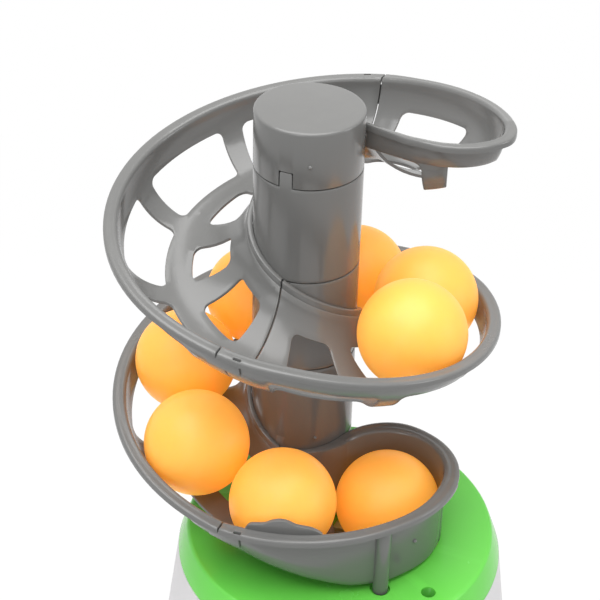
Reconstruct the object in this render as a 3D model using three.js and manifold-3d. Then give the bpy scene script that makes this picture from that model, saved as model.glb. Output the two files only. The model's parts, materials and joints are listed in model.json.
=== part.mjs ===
// A table tennis robot: balls queue on a spiral track round a hollow column, drop through a well
// into a feed rotor, fall down a chute and are thrown out of the front by a driven wheel.
// Millimetres, +Z up. The origin is on the table under the middle of the body, the front is -Y.
import * as THREE from "three";
import { mergeVertices } from "three/addons/utils/BufferGeometryUtils.js";
import Module from "manifold-3d";

const wasm = await Module();
wasm.setup();

// Clearances
const partGap = 0.35; // between pieces that touch or seat
const cutOverrun = 1; // how far every cutter runs past what it cuts
const weldDistance = 0.0001; // vertices closer than this are one
const shortestEdge = 0.03; // shorter edges that cuts leave are closed up

// Ball
const ballDiameter = 40;
const ballRadius = ballDiameter / 2;
const queueGap = 0.35; // between two balls that wait nose to tail
const queueStart = 15.9; // degrees from the last joint to the lowest ball on the track
const queueShares = [1, 1, 1.045, 1.045, 1.05, 1]; // spacing up the track over touching balls

// Column and track
const columnRadius = 19.74;
const columnWall = 2;
const columnOffset = 30; // column axis behind the body axis
const segmentHeight = 38.62; // one column piece, which carries half a turn of track
const topColumnHeight = 21.95;
const stubHeight = 30.1; // the column's foot inside the bowl
const trackRadius = 47.5; // path of the ball centres
const troughWall = 1.8;
const flangeWidth = 4.6;
const flangeHeight = 3;
const flangeEdge = 0.6; // bevel on the flange's outer corner
const outerReach = 21.5; // from the ball path out to the trough's outer wall
const troughGap = 1.6; // from a ball down to the trough's floor
const rimAboveBall = 0.55; // rim over the ball centres
const rimAboveSeam = 2.2; // rim over the column seam where a half turn starts
const ridgeStand = 1.96; // the trough's inner edge out from the column
const ridgeDrop = 1.2; // its top below the rim
const ridgeHeight = 2.7;
const jointAngle = 34.4; // where the first half turn starts, round the column from +X
const jointGapAngle = 0.8; // open angle between two half turns
const webStep = 16; // degrees between sections of the web at the column
const webInset = 1.5; // degrees the web stays inside its half turn
const sweepStep = 12; // degrees between trough sections, where no window sets them
const spigotHeight = 5;
const spigotWall = 1.5;
const keyWidth = 5.6; // locating key on top of each column piece
const keyHeight = 6;
const keyAngle = 184; // from the start of the half turn
const keyRoot = 2; // how far the key and spigot reach down into their own piece
const capEdge = 1; // round on the top of the column

// Snap between two half turns: a tongue under the rim with a peg in a slot
const tongueReach = 8.2;
const tongueWidth = 1.8;
const tongueThickness = 1.5;
const snapDistance = 7.3; // slot past the joint, along the rim
const snapLength = 2.8;
const snapWidth = 1.3;

// Web windows, in degrees along the half turn and round the trough section
const outerWindows = [[14, 46.2], [55, 86.4], [96, 125.8], [135.8, 166]];
const innerWindows = [[15, 42.5], [59, 87.3], [103, 125.5], [140.8, 167.5]];
const outerBand = [-79, -31];
const innerBand = [-142, -104];
const windowCorner = 3.4;
const cutterShares = [0.72, 1.36]; // a window's cutter, from inside the trough to outside it
const sectionShare = 0.45; // place of a section between two window edges

// Top scoop
const scoopSweep = 61.4;
const scoopEndRadius = 23.5; // outside of the rim round the scoop's end
const scoopWallHeight = 11;
const scoopWindow = [-51.9, -12.9];
const scoopInnerWindow = [-50, -14];
const scoopWallStart = -14; // degrees round the end's section
const scoopTangent = -133; // where the end's circle runs into the line wall
const scoopOverlap = 4; // degrees the end reaches into the trough
const scoopGaps = [[-98, -22], [-160, -123]]; // open under the low wall
const scoopSectorShare = 1.2;
const scoopHubShare = 0.25; // middle of the end, which stays whole
const scoopLineShare = 1.02; // line wall by the end's radius

// Bowl
const wellClearance = 0.5;
const wellRadius = ballRadius + wellClearance;
const wellAngle = 72.4; // well's place round the column, from the last joint
const bowlBlendRadius = 45; // rim arc between the turn and the well
const bowlCorner = 3; // round between the well's wall and its floor
const ribRadius = 3;
const ribAngle = 48.8; // rib down the bowl's front, from the last joint
const guardAngle = 18.8; // middle of the scalloped ball guard
const guardSpan = 21.5;
const guardHeight = 8.4;
const guardThickness = 1.6;
const guardSteps = 14;
const guardLobeShares = [[-0.62, 0.62, 0.4], [0, 1, 0.42], [0.62, 0.62, 0.4]]; // place, height, width
const outerSquaring = [5, 52]; // degrees over which the outer wall turns upright
const innerSquaring = [18, 66];
const skirtSpan = [-42, 8]; // inner wall at the column, from the well's place
const bowlStepShare = 0.8;

// Body
const capHeight = 11; // cap over its seam with the housing
const capFlatRadius = 58;
const capShoulderRadius = 61.2; // where the cap's rounded edge meets its side
const capShoulderDrop = 3;
const capTongueWall = 1.3;
const capTongueHeight = 4;
const feederRise = 109; // cap's seam over the channel's axis
const capSeamRadius = 63.3;
const baseRadius = 92;
const shellWall = 2.5;
const shellFoot = 4.3; // lower edge of the shell above the table
const footRadius = 8;
const footInset = 14; // feet in from the edge of the base

// Feeder
const rotorAxisY = 9;
const rotorGap = 0.4; // ball over pocket depth
const ballSink = 6; // a waiting ball's lowest point below the cap's top
const rotorOuterRadius = 47.9;
const pocketClearance = 0.75;
const pocketRadius = ballRadius + pocketClearance;
const pocketCount = 3;
const rotorShaftRadius = 2.5;
const feederFloorThickness = 3;
const gearTeeth = 84;
const pinionTeeth = 14;
const gearModule = 1.25;
const gearRim = 2.5; // room round the ring gear and its pinion, past the pitch circle
const gearHeight = 6;
const gearLift = 0.9; // ring gear over the rotor's foot
const toothTipShare = 0.8; // tooth over the pitch circle, by the module
const toothRootShare = 1.05; // and under it
const toothTipWidth = 0.13; // half a tooth at its tip, by the pitch
const toothRootWidth = 0.27; // and at its root
const pinionShaftRadius = 2.5;
const pinionBearing = -105; // degrees from the rotor axis
const gearBoxRadius = 10;
const gearBoxLength = 19;
const feedMotorRadius = 9;
const feedMotorLength = 22;
const bearingHeight = 6;
const socketHeight = 8; // collar under the floor round the gearbox
const ledgeRadius = 59; // inner edge of the housing's ledge over the feeder floor
const ledgeHeight = 3;
const capScrewPlace = [7.5, -49.8];
const capHoleRadius = 2.75;
const capPostRadius = 3.75; // post under the cap's screw
const capScrewHead = 2.225;
const capScrewLength = 19;
const collarHeight = 3.5; // cap collar round the well, below the plate

// Launcher
const channelRise = 54; // channel's axis over the deck
const boreClearance = 1.5;
const boreRadius = ballRadius + boreClearance;
const tubeWall = 2;
const channelBack = 58;
const channelFlange = 29; // half width over the side flanges
const channelFlangeInset = 8; // flanges short of the channel's front
const channelFlangeHeight = 2.5;
const collarReach = 26; // collar for the chute over the channel's axis
const chuteDrop = 12.25; // top of the chute under the feeder floor
const chuteFlange = 27;
const wheelRadius = 21;
const wheelWidth = 14;
const wheelY = -14;
const wheelSqueeze = 1.5; // how far the wheel reaches into the ball's path
const hubRadius = 15;
const hubRimWall = 2.5;
const hubBossRadius = 4;
const hubWeb = 4;
const wheelSlotGap = 1.5;
const wheelSlotInset = 3; // slot in the channel, short of the wheel's radius
const motorRadius = 12;
const motorLength = 31;
const motorFace = 16.35; // from the middle of the wheel to the motor
const motorShaftRadius = 1.5;
const motorShaftLength = 30;
const saddleWall = 2.5;
const cradleThickness = 5;
const cradlePlaces = [40, -48];

// Nozzle
const nozzleOuterRadius = 27.9;
const nozzleMouthRadius = 26;
const nozzleBore = 24;
const nozzleSeat = 14; // nozzle inside its boss
const nozzleOverlap = 2; // channel inside the nozzle
const nozzleLip = 32;
const nozzleLipDepth = 3.6;
const bossRadius = 31;
const bossInset = 4; // boss in from the edge of the base

// Controls
const panelWidth = 60;
const panelHeight = 27;
const panelInset = 3; // panel's face in from the edge of the base
const panelDepth = 10;
const panelCentre = 45;
const panelCorner = 5;
const panelFace = 2.5; // thickness of its front
const panelFrame = 3.3; // frame of the housing round it
const boardInset = 24.6; // back of the circuit board behind the panel's face
const boardCorner = 1;
const boardThickness = 1.6;
const boardWidth = 58;
const boardHeight = 24;
const boardPostRadius = 2.5;
const boardPostX = 26.2;
const boardPinRadius = 1;
const potRadius = 8;
const potLength = 8.6;
const knobX = 15;
const knobRadius = 9;
const knobLength = 9;
const knobShaftRadius = 2.9;
const knobShaftInset = 18; // inner end of its shaft behind the panel's face
const pointerWidth = 2;
const switchX = -15;
const sliderWidth = 6;
const sliderHeight = 4.5;
const sliderStand = 2.6;
const sliderTravel = 5;
const sliderStem = 2.5;
const switchWidth = 13;
const switchHeight = 8;
const switchLength = 6.6;

// Power
const cellRadius = 13.1;
const cellLength = 50;
const cellButton = 1.5;
const cellButtonRadius = 3.2;
const cellCount = 4;
const cellPitch = 27;
const contactGap = 5.35; // from a cell's end to its contact strip
const contactThickness = 0.5;
const contactWidth = 16;
const cellSideGap = 1;
const springRadius = 5;
const springTipShare = 0.6;
const contactPlateShare = 0.7;
const boxWall = 2;
const boxHeight = 21;
const trayBottom = 6.5;
const trayThickness = 2.5;
const trayInset = 3.8; // tray in from the edge of the base
const doorThickness = 2.1;
const doorHalfWidth = 56.9;
const doorHalfLength = 33;
const doorTravel = 12;
const railLip = 1.3;
const railWidth = 2.7;
const railCover = 2; // lip under the door's edge
const gripWidth = 24;
const gripStand = 1.05;
const gripPitch = 4.2;
const gripInset = 6.3; // first grip from the door's edge
const gripCount = 3;

// Inner frame and screws
const deckHeight = 46;
const deckThickness = 2.5;
const deckInset = 16;
const deckNotchWidth = 62; // notch for the circuit board
const deckNotchInset = 4.4;
const legAngles = [20, 160, 200, 340];
const legInset = 19;
const legWidth = 8;
const tabInset = 6;
const screwInset = 9.5;
const housingBossRadius = 4.5;
const housingBossHeight = 18;
const screwHeadRadius = 2.6;
const screwHeadHeight = 1.75;
const screwShankRadius = 1.2;
const screwClearance = 0.4;
const columnScrewPlace = 10;
const columnScrewLength = 11;
const columnBossHeight = 7;
const columnBossRadius = 3.6;

// Facets
const largeSides = 32;
const mediumSides = 20;
const smallSides = 10;
const screwSides = 8;
const outerRows = [-10, -28, -55, -82]; // degrees round the trough section, outer wall and floor
const innerRows = [-98, -123, -148, -166]; // floor and inner wall

// Places that follow from the sizes above
const trackWallRadius = trackRadius + outerReach;
const rimRadius = trackWallRadius + flangeWidth;
const ridgeRadius = columnRadius + ridgeStand;
const columnClear = columnRadius + partGap;
const floorDrop = rimAboveBall + ballRadius + troughGap;
const launchHeight = deckHeight + channelRise;
const capSeam = launchHeight + feederRise;
const capTop = capSeam + capHeight;
const footPlaceRadius = baseRadius - footInset;
const trayRadius = baseRadius - trayInset;
const deckRadius = baseRadius - deckInset;
const legPlaceRadius = baseRadius - legInset;
const tabReach = baseRadius - tabInset;
const screwPlaceRadius = baseRadius - screwInset;
const bossFront = baseRadius - bossInset;
const nozzleBack = bossFront - nozzleSeat;
const channelFront = nozzleBack + nozzleOverlap;
const channelFlangeFront = channelFront - channelFlangeInset;
const collarTop = launchHeight + collarReach;
const panelFront = baseRadius - panelInset;
const boardDepth = panelFront - boardInset;
const knobReach = panelFront - knobShaftInset;
const deckNotchDepth = boardDepth - deckNotchInset;
const dropPerDegree = segmentHeight / 180;
const firstSeam = capTop + stubHeight + 3 * segmentHeight;
const lastSeam = capTop + stubHeight;
const columnBore = columnRadius - columnWall;
const spigotRadius = columnBore - partGap;
const wellDistance = columnRadius + wellRadius + flangeWidth;
const rotorTop = capTop - ballSink - partGap;
const rotorBottom = rotorTop - ballDiameter - rotorGap;
const feederFloorTop = rotorBottom - partGap;
const feederFloorBottom = feederFloorTop - feederFloorThickness;
const chuteTop = feederFloorBottom - chuteDrop;
const shellSlope = (baseRadius - capSeamRadius) / (capSeam - shellFoot);
const nozzleFront = columnOffset + rimRadius;
const ringPitchRadius = (gearModule * gearTeeth) / 2;
const pinionPitchRadius = (gearModule * pinionTeeth) / 2;
const gearTop = rotorBottom + gearLift + gearHeight;
const channelRadius = boreRadius + tubeWall;
const wheelHeight = launchHeight - boreClearance + ballRadius - wheelSqueeze + wheelRadius;
const screwHole = screwShankRadius + screwClearance;
const trayTop = trayBottom + trayThickness;
const cellHeight = trayBottom + cellRadius + partGap / 2;
const boxHalfWidth = ((cellCount - 1) * cellPitch) / 2 + cellRadius + cellSideGap;
const boxHalfLength = cellLength / 2 + contactGap + contactThickness + partGap;
const lastJoint = jointAngle + 3 * 180;

const radians = THREE.MathUtils.degToRad;
const shellRadiusAt = (height) => baseRadius - shellSlope * (height - shellFoot);
const polar = (radius, degrees) =>
  new THREE.Vector2(radius * Math.cos(radians(degrees)), radius * Math.sin(radians(degrees)));

// Materials
const finish = (color, roughness, metalness = 0) =>
  new THREE.MeshStandardMaterial({ color, roughness, metalness });
const greyPlastic = finish(0x848482, 0.36);
const greenPlastic = finish(0x4ccb32, 0.3);
const whitePlastic = finish(0xece9ec, 0.35);
const ballPlastic = finish(0xffae3c, 0.42);
const blackPlastic = finish(0x26272a, 0.45);
const rubber = finish(0x1d1d1f, 0.8);
const steel = finish(0xb9bcc0, 0.3, 1);
const brass = finish(0xc9a24f, 0.35, 1);
const boardGreen = finish(0x1f5a3a, 0.5);
const cellJacket = finish(0x3b4a63, 0.4);

// Solids: geometry to a manifold and back, so that pieces can be joined and cut
function welded(geometry) {
  if (geometry.userData.closed) return geometry;
  const bare = geometry.index ? geometry.toNonIndexed() : geometry.clone();
  bare.deleteAttribute("normal");
  bare.deleteAttribute("uv");
  return mergeVertices(bare, weldDistance);
}

function solidOf(geometry) {
  const merged = welded(geometry);
  const vertProperties = merged.attributes.position.array;
  const corners = merged.index.array;
  const kept = [];
  const turned = [];
  for (let i = 0; i < corners.length; i += 3) {
    const [a, b, c] = [corners[i], corners[i + 1], corners[i + 2]];
    if (a === b || b === c || c === a) continue;
    kept.push(a, b, c);
    turned.push(a, c, b);
  }
  const build = (list) =>
    new wasm.Manifold(new wasm.Mesh({ numProp: 3, vertProperties, triVerts: new Uint32Array(list) }));
  const solid = build(kept);
  return solid.volume() < 0 ? build(turned) : solid;
}

function geometryOf(solid) {
  const mesh = solid.getMesh();
  const geometry = new THREE.BufferGeometry();
  geometry.setAttribute("position", new THREE.BufferAttribute(new Float32Array(mesh.vertProperties), 3));
  geometry.setIndex(new THREE.BufferAttribute(new Uint32Array(mesh.triVerts), 1));
  geometry.userData.closed = true;
  return geometry;
}

const join = (...pieces) => geometryOf(pieces.map(solidOf).reduce((a, b) => a.add(b)));
const cut = (piece, ...tools) =>
  geometryOf(tools.map(solidOf).reduce((a, b) => a.subtract(b), solidOf(piece)));
const common = (piece, ...tools) =>
  geometryOf(tools.map(solidOf).reduce((a, b) => a.intersect(b), solidOf(piece)));

// Basic forms, each standing on z = 0 unless it is moved
function turned(profile, sides) {
  const points = profile.map(([radius, height]) => new THREE.Vector2(radius, height));
  return new THREE.LatheGeometry(points, sides).rotateX(Math.PI / 2);
}

function rod(radius, bottom, top, sides = mediumSides) {
  return turned([[0, bottom], [radius, bottom], [radius, top], [0, top]], sides);
}

function tube(outer, inner, bottom, top, sides = mediumSides) {
  return turned([[inner, bottom], [outer, bottom], [outer, top], [inner, top], [inner, bottom]], sides);
}

function block(width, depth, bottom, top) {
  return new THREE.BoxGeometry(width, depth, top - bottom).translate(0, 0, (bottom + top) / 2);
}

function plate(shape, bottom, top, curveSegments = 3) {
  const depth = top - bottom;
  const settings = { depth, bevelEnabled: false, steps: 1, curveSegments };
  return new THREE.ExtrudeGeometry(shape, settings).translate(0, 0, bottom);
}

function roundedRectangle(width, height, radius) {
  const [x, y] = [width / 2 - radius, height / 2 - radius];
  const shape = new THREE.Shape();
  shape.absarc(x, y, radius, 0, Math.PI / 2);
  shape.absarc(-x, y, radius, Math.PI / 2, Math.PI);
  shape.absarc(-x, -y, radius, Math.PI, 1.5 * Math.PI);
  shape.absarc(x, -y, radius, 1.5 * Math.PI, 2 * Math.PI);
  return shape;
}

// A solid through closed sections that have the same number of points
function loft(sections, place) {
  const count = sections[0].points.length;
  const corners = sections.flatMap((section) =>
    section.points.flatMap((point) => place(point, section.angle).toArray()));
  const faces = [];
  for (let s = 0; s + 1 < sections.length; s += 1) {
    for (let p = 0; p < count; p += 1) {
      const next = (p + 1) % count;
      const [a, b, c, d] = [s * count + p, s * count + next, (s + 1) * count + next, (s + 1) * count + p];
      faces.push(a, b, c, a, c, d);
    }
  }
  const lastStart = (sections.length - 1) * count;
  const capOf = ({ points }) => {
    const triangles = THREE.ShapeUtils.triangulateShape(points, []);
    return THREE.ShapeUtils.isClockWise(points) ? triangles.map(([a, b, c]) => [a, c, b]) : triangles;
  };
  for (const [a, b, c] of capOf(sections[0])) faces.push(a, c, b);
  for (const [a, b, c] of capOf(sections.at(-1))) faces.push(lastStart + a, lastStart + b, lastStart + c);
  const geometry = new THREE.BufferGeometry();
  geometry.setAttribute("position", new THREE.Float32BufferAttribute(corners, 3));
  geometry.setIndex(faces);
  return geometry;
}

// Round the column: x of a section is its radius, y its height over the rim
const roundColumn = (rimAt) => (point, degrees) => {
  const flat = polar(point.x, degrees);
  return new THREE.Vector3(flat.x, flat.y, rimAt(degrees) + point.y);
};

const pointsAt = (centreX, centreY, radiusX, radiusY, degrees) => degrees.map((angle) => {
  const turn = radians(angle);
  return new THREE.Vector2(centreX + radiusX * Math.cos(turn), centreY + radiusY * Math.sin(turn));
});

function arcPoints(centreX, centreY, radiusX, radiusY, from, to, steps) {
  const points = [];
  for (let i = 0; i <= steps; i += 1) {
    const angle = radians(from + ((to - from) * i) / steps);
    points.push(new THREE.Vector2(centreX + radiusX * Math.cos(angle), centreY + radiusY * Math.sin(angle)));
  }
  return points;
}

// The trough's closed section: flange, outer wall, floor, inner wall and the ridge at the column
function troughSection(form = {}) {
  const { wall = trackWallRadius, ridge = ridgeRadius, floor = -floorDrop } = form;
  const bottom = trackRadius + (form.floorShift ?? 0);
  const outer = form.outerCorner ?? [wall - bottom, floorDrop - rimAboveBall];
  const inner = form.innerCorner ?? [bottom - ridge, floorDrop - rimAboveBall];
  const outerCentre = [wall - outer[0], floor + outer[1]];
  const innerCentre = [ridge + inner[0], floor + inner[1]];
  const ridgeLow = -ridgeDrop - ridgeHeight;
  const ridgeBack = ridge - (ridgeRadius - columnClear);
  const underWall = -flangeHeight;
  const underInner = [inner[0] + ridge - ridgeBack, inner[1] + troughWall];
  const underOuter = outer.map((radius) => radius + troughWall);
  const inside = [
    ...pointsAt(...outerCentre, ...outer, outerRows),
    ...pointsAt(...innerCentre, ...inner, innerRows),
  ];
  const outside = [
    ...pointsAt(...innerCentre, ...underInner, [...innerRows].reverse()),
    ...pointsAt(...outerCentre, ...underOuter, [...outerRows].reverse()),
  ];
  return [
    new THREE.Vector2(wall, 0),
    ...inside,
    new THREE.Vector2(ridge, ridgeLow),
    new THREE.Vector2(ridge, -ridgeDrop),
    new THREE.Vector2(ridgeBack, -ridgeDrop),
    new THREE.Vector2(ridgeBack, ridgeLow),
    ...outside,
    new THREE.Vector2(wall + troughWall, underWall),
    new THREE.Vector2(wall + flangeWidth, underWall),
    new THREE.Vector2(wall + flangeWidth, -flangeEdge),
    new THREE.Vector2(wall + flangeWidth - flangeEdge, 0),
  ];
}

// A window with round corners, cut square through the trough's wall along its curve
function troughWindow([from, to], [low, high], rimAt) {
  const middle = radians((low + high) / 2);
  const isOuter = high > -90;
  const reach = isOuter ? outerReach : trackRadius - ridgeRadius;
  const depth = floorDrop - rimAboveBall;
  const radiusHere = trackRadius + reach * Math.cos(middle);
  const cornerAlong = THREE.MathUtils.radToDeg(windowCorner / radiusHere);
  const cornerRound = THREE.MathUtils.radToDeg(windowCorner / depth);
  const corners = [[to, high, 0], [from, high, 90], [from, low, 180], [to, low, 270]];
  const outline = corners.flatMap(([along, round, start]) => {
    const centreAlong = along === to ? to - cornerAlong : from + cornerAlong;
    const centreRound = round === high ? high - cornerRound : low + cornerRound;
    const bend = arcPoints(centreAlong, centreRound, cornerAlong, cornerRound, start, start + 90, 1);
    const across = start === 0 || start === 180;
    const half = new THREE.Vector2((from + to) / 2, round);
    return across ? [...bend, half] : bend;
  });
  const sections = cutterShares.map((share) => ({ angle: share, points: outline }));
  return loft(sections, (point, share) => {
    const angle = radians(point.y);
    const flat = polar(trackRadius + reach * share * Math.cos(angle), point.x);
    const height = rimAt(point.x) - rimAboveBall + depth * share * Math.sin(angle);
    return new THREE.Vector3(flat.x, flat.y, height);
  });
}

// A helical strip that ties the ridge to its own column piece and stops short of the seams
function ridgeWeb(from, to, rimAt, bottom, top) {
  const [near, far] = [columnRadius - columnWall / 2, ridgeRadius - ridgeStand / 4];
  const [low, high] = [-ridgeDrop - ridgeHeight + partGap, -ridgeDrop - partGap];
  const corners = [[near, low], [far, low], [far, high], [near, high]];
  const points = corners.map(([x, y]) => new THREE.Vector2(x, y));
  const angles = anglesBetween(from + webInset, to - webInset, webStep);
  const strip = loft(angles.map((angle) => ({ angle, points })), roundColumn(rimAt));
  return common(strip, rod(ridgeRadius + cutOverrun, bottom, top, largeSides));
}

function anglesBetween(from, to, step = sweepStep) {
  const count = Math.max(1, Math.round((to - from) / step));
  return Array.from({ length: count + 1 }, (_, i) => from + ((to - from) * i) / count);
}

// One column piece between two seams, with a spigot and a key on top and a notch at its foot
function columnKey(grow) {
  const blank = block(columnWall + 2 * grow, keyWidth + 2 * grow, -keyRoot, keyHeight + grow);
  return blank.translate(columnRadius - columnWall / 2, 0, 0);
}

function columnPiece(bottom, top, notchAngle) {
  const seamGap = partGap / 2;
  const spigotBore = spigotRadius - spigotWall;
  const root = top - seamGap - spigotHeight;
  const piece = turned([
    [columnBore, bottom + seamGap],
    [columnRadius, bottom + seamGap],
    [columnRadius, top - seamGap],
    [spigotRadius, top - seamGap],
    [spigotRadius, top + spigotHeight],
    [spigotBore, top + spigotHeight],
    [spigotBore, root],
    [columnBore, root - spigotWall],
    [columnBore, bottom + seamGap],
  ], mediumSides);
  const keyRing = tube(columnRadius, columnBore + partGap / 2, -keyRoot, keyHeight, mediumSides);
  const key = common(columnKey(0).rotateZ(radians(keyAngle)), keyRing).translate(0, 0, top);
  const whole = join(piece, key);
  if (notchAngle === null) return whole;
  return cut(whole, columnKey(partGap).rotateZ(radians(notchAngle)).translate(0, 0, bottom));
}

// The tongue at the lower end of a half turn, which clips under the next one's rim
function snapTongue(endAngle, rimAt) {
  const degreesAtRim = (length) => THREE.MathUtils.radToDeg(length / rimRadius);
  const [near, far] = [trackWallRadius + troughWall + partGap, rimRadius - flangeEdge];
  const [low, high] = [-flangeHeight - partGap - tongueThickness, -flangeHeight - partGap];
  const strip = (from, to, inner, outer, bottom, top) => {
    const corners = [[inner, bottom], [outer, bottom], [outer, top], [inner, top]];
    const points = corners.map(([x, y]) => new THREE.Vector2(x, y));
    return loft([from, to].map((angle) => ({ angle, points })), roundColumn(rimAt));
  };
  const tip = endAngle + degreesAtRim(tongueReach + snapLength / 2);
  const root = endAngle - degreesAtRim(tongueReach);
  const peg = endAngle + degreesAtRim(snapDistance);
  const pegHalf = degreesAtRim(snapLength / 2 - partGap);
  const middle = (near + far) / 2;
  const pegWidth = snapWidth / 2 - partGap;
  const over = -flangeHeight / 2;
  const start = endAngle - degreesAtRim(snapLength);
  const [tongueNear, tongueFar] = [middle - tongueWidth / 2, middle + tongueWidth / 2];
  return join(
    strip(start, tip, tongueNear, tongueFar, low, high),
    strip(root, endAngle - degreesAtRim(2 * partGap), middle - tongueWidth, far, low, over),
    strip(peg - pegHalf, peg + pegHalf, middle - pegWidth, middle + pegWidth, low + partGap, over),
  );
}

function snapSlot(startAngle, rimAt) {
  const middle = (trackWallRadius + troughWall + partGap + rimRadius - flangeEdge) / 2;
  const angle = startAngle + THREE.MathUtils.radToDeg(snapDistance / rimRadius);
  return block(snapWidth, snapLength, -flangeHeight - cutOverrun, cutOverrun)
    .translate(middle, 0, 0)
    .rotateZ(radians(angle))
    .translate(0, 0, rimAt(angle));
}

const halfTurnRim = (degrees) => rimAboveSeam - dropPerDegree * degrees;

// Sections near the middle of each window and each spoke, so that the rim turns evenly
function halfTurnAngles(start, end) {
  const middle = (a, b) => a + sectionShare * (b - a);
  const angles = [start, middle(start, outerWindows[0][0]) + start];
  outerWindows.forEach(([from, to], i) => {
    angles.push(middle(from, to));
    const next = outerWindows[i + 1];
    angles.push(next ? middle(to, next[0]) : middle(to, end));
  });
  return [...angles, end];
}

function trackSegment() {
  const start = jointGapAngle / 2;
  const end = 180 - jointGapAngle / 2;
  const angles = halfTurnAngles(start, end);
  const shell = loft(angles.map((angle) => ({ angle, points: troughSection() })), roundColumn(halfTurnRim));
  const windows = [
    ...outerWindows.map((span) => troughWindow(span, outerBand, halfTurnRim)),
    ...innerWindows.map((span) => troughWindow(span, innerBand, halfTurnRim)),
  ];
  return join(
    cut(shell, ...windows, snapSlot(0, halfTurnRim)),
    snapTongue(180, halfTurnRim),
    ridgeWeb(start, end, halfTurnRim, -segmentHeight + partGap, -partGap),
    columnPiece(-segmentHeight, 0, keyAngle + 180),
  );
}

// Top scoop: the column's closed end, a short stretch of trough and its round end
function topScoop() {
  const rimAt = (degrees) => rimAboveSeam - dropPerDegree * Math.max(degrees, -scoopSweep);
  const endShift = rimRadius - scoopEndRadius - trackRadius;
  const angles = anglesBetween(-scoopSweep, -jointGapAngle / 2);
  const eased = (angle) => THREE.MathUtils.smoothstep(-angle, scoopSweep / 2, scoopSweep);
  const sections = angles.map((angle) => ({
    angle,
    points: troughSection({ floorShift: endShift * eased(angle) }),
  }));
  const shell = loft(sections, roundColumn(rimAt));
  const windows = [
    troughWindow(scoopWindow, outerBand, rimAt),
    troughWindow(scoopInnerWindow, innerBand, rimAt),
  ];
  const rim = rimAt(-scoopSweep);
  const endCentre = polar(rimRadius - scoopEndRadius, -scoopSweep);
  const wallRadius = scoopEndRadius - flangeWidth;
  const depth = floorDrop - rimAboveBall;
  const underDepth = depth + troughWall;
  const inner = arcPoints(0, -rimAboveBall, wallRadius, depth, -90, scoopWallStart, 4);
  const outer = arcPoints(0, -rimAboveBall, wallRadius + troughWall, underDepth, scoopWallStart, -90, 4);
  const profile = [
    ...inner.map((p) => [p.x, p.y]),
    [wallRadius, 0],
    [scoopEndRadius - flangeEdge, 0],
    [scoopEndRadius, -flangeEdge],
    [scoopEndRadius, -flangeHeight],
    [wallRadius + troughWall, -flangeHeight],
    ...outer.map((p) => [p.x, p.y]),
  ].map(([x, y]) => [Math.abs(x) < weldDistance ? 0 : x, y]);
  profile.push(profile[0]);
  const dish = turned(profile, mediumSides);
  // The dish fills the front of the end plane, from the outer wall round to the line wall
  const sector = new THREE.Shape();
  const reach = scoopEndRadius + cutOverrun;
  sector.absarc(0, 0, scoopSectorShare * reach, radians(scoopTangent), radians(scoopOverlap));
  sector.lineTo(0, 0);
  const front = common(dish, plate(sector, -2 * depth, cutOverrun, 5));
  const openings = scoopGaps.map(([from, to]) => {
    const gap = new THREE.Shape();
    gap.absarc(0, 0, reach, radians(from), radians(to));
    gap.absarc(0, 0, scoopHubShare * wallRadius, radians(to), radians(from), true);
    return plate(gap, -2 * depth, -scoopWallHeight, 3);
  });
  const scoopEnd = cut(front, ...openings)
    .rotateZ(radians(-scoopSweep))
    .translate(endCentre.x, endCentre.y, rim);
  // The line wall runs from the dish's edge to the column
  const lineLength = scoopLineShare * scoopEndRadius;
  const lineWall = join(
    block(lineLength, troughWall, -scoopWallHeight, -flangeHeight / 2)
      .translate(-lineLength / 2, -wallRadius - troughWall / 2, 0),
    block(lineLength, flangeWidth, -flangeHeight, 0)
      .translate(-lineLength / 2, -wallRadius - flangeWidth / 2, 0),
  )
    .rotateZ(radians(scoopTangent + 90 - scoopSweep))
    .translate(endCentre.x, endCentre.y, rim);
  const outsideColumn = cut(lineWall, rod(columnRadius - columnWall / 2, -segmentHeight, 2 * segmentHeight));
  const under = topColumnHeight - 2 * columnWall;
  const crown = turned([
    [0, under],
    [columnRadius, under],
    [columnRadius, topColumnHeight - capEdge],
    [columnRadius - capEdge, topColumnHeight],
    [0, topColumnHeight],
  ], mediumSides);
  const seamGap = partGap / 2;
  const blank = tube(columnRadius, columnBore, seamGap, under + columnWall / 2, mediumSides);
  const post = cut(blank, columnKey(partGap).rotateZ(radians(keyAngle)));
  return join(
    cut(shell, ...windows),
    scoopEnd,
    outsideColumn,
    snapTongue(0, rimAt),
    ridgeWeb(-scoopSweep, -jointGapAngle / 2, rimAt, partGap, topColumnHeight),
    post,
    crown,
  );
}

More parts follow.
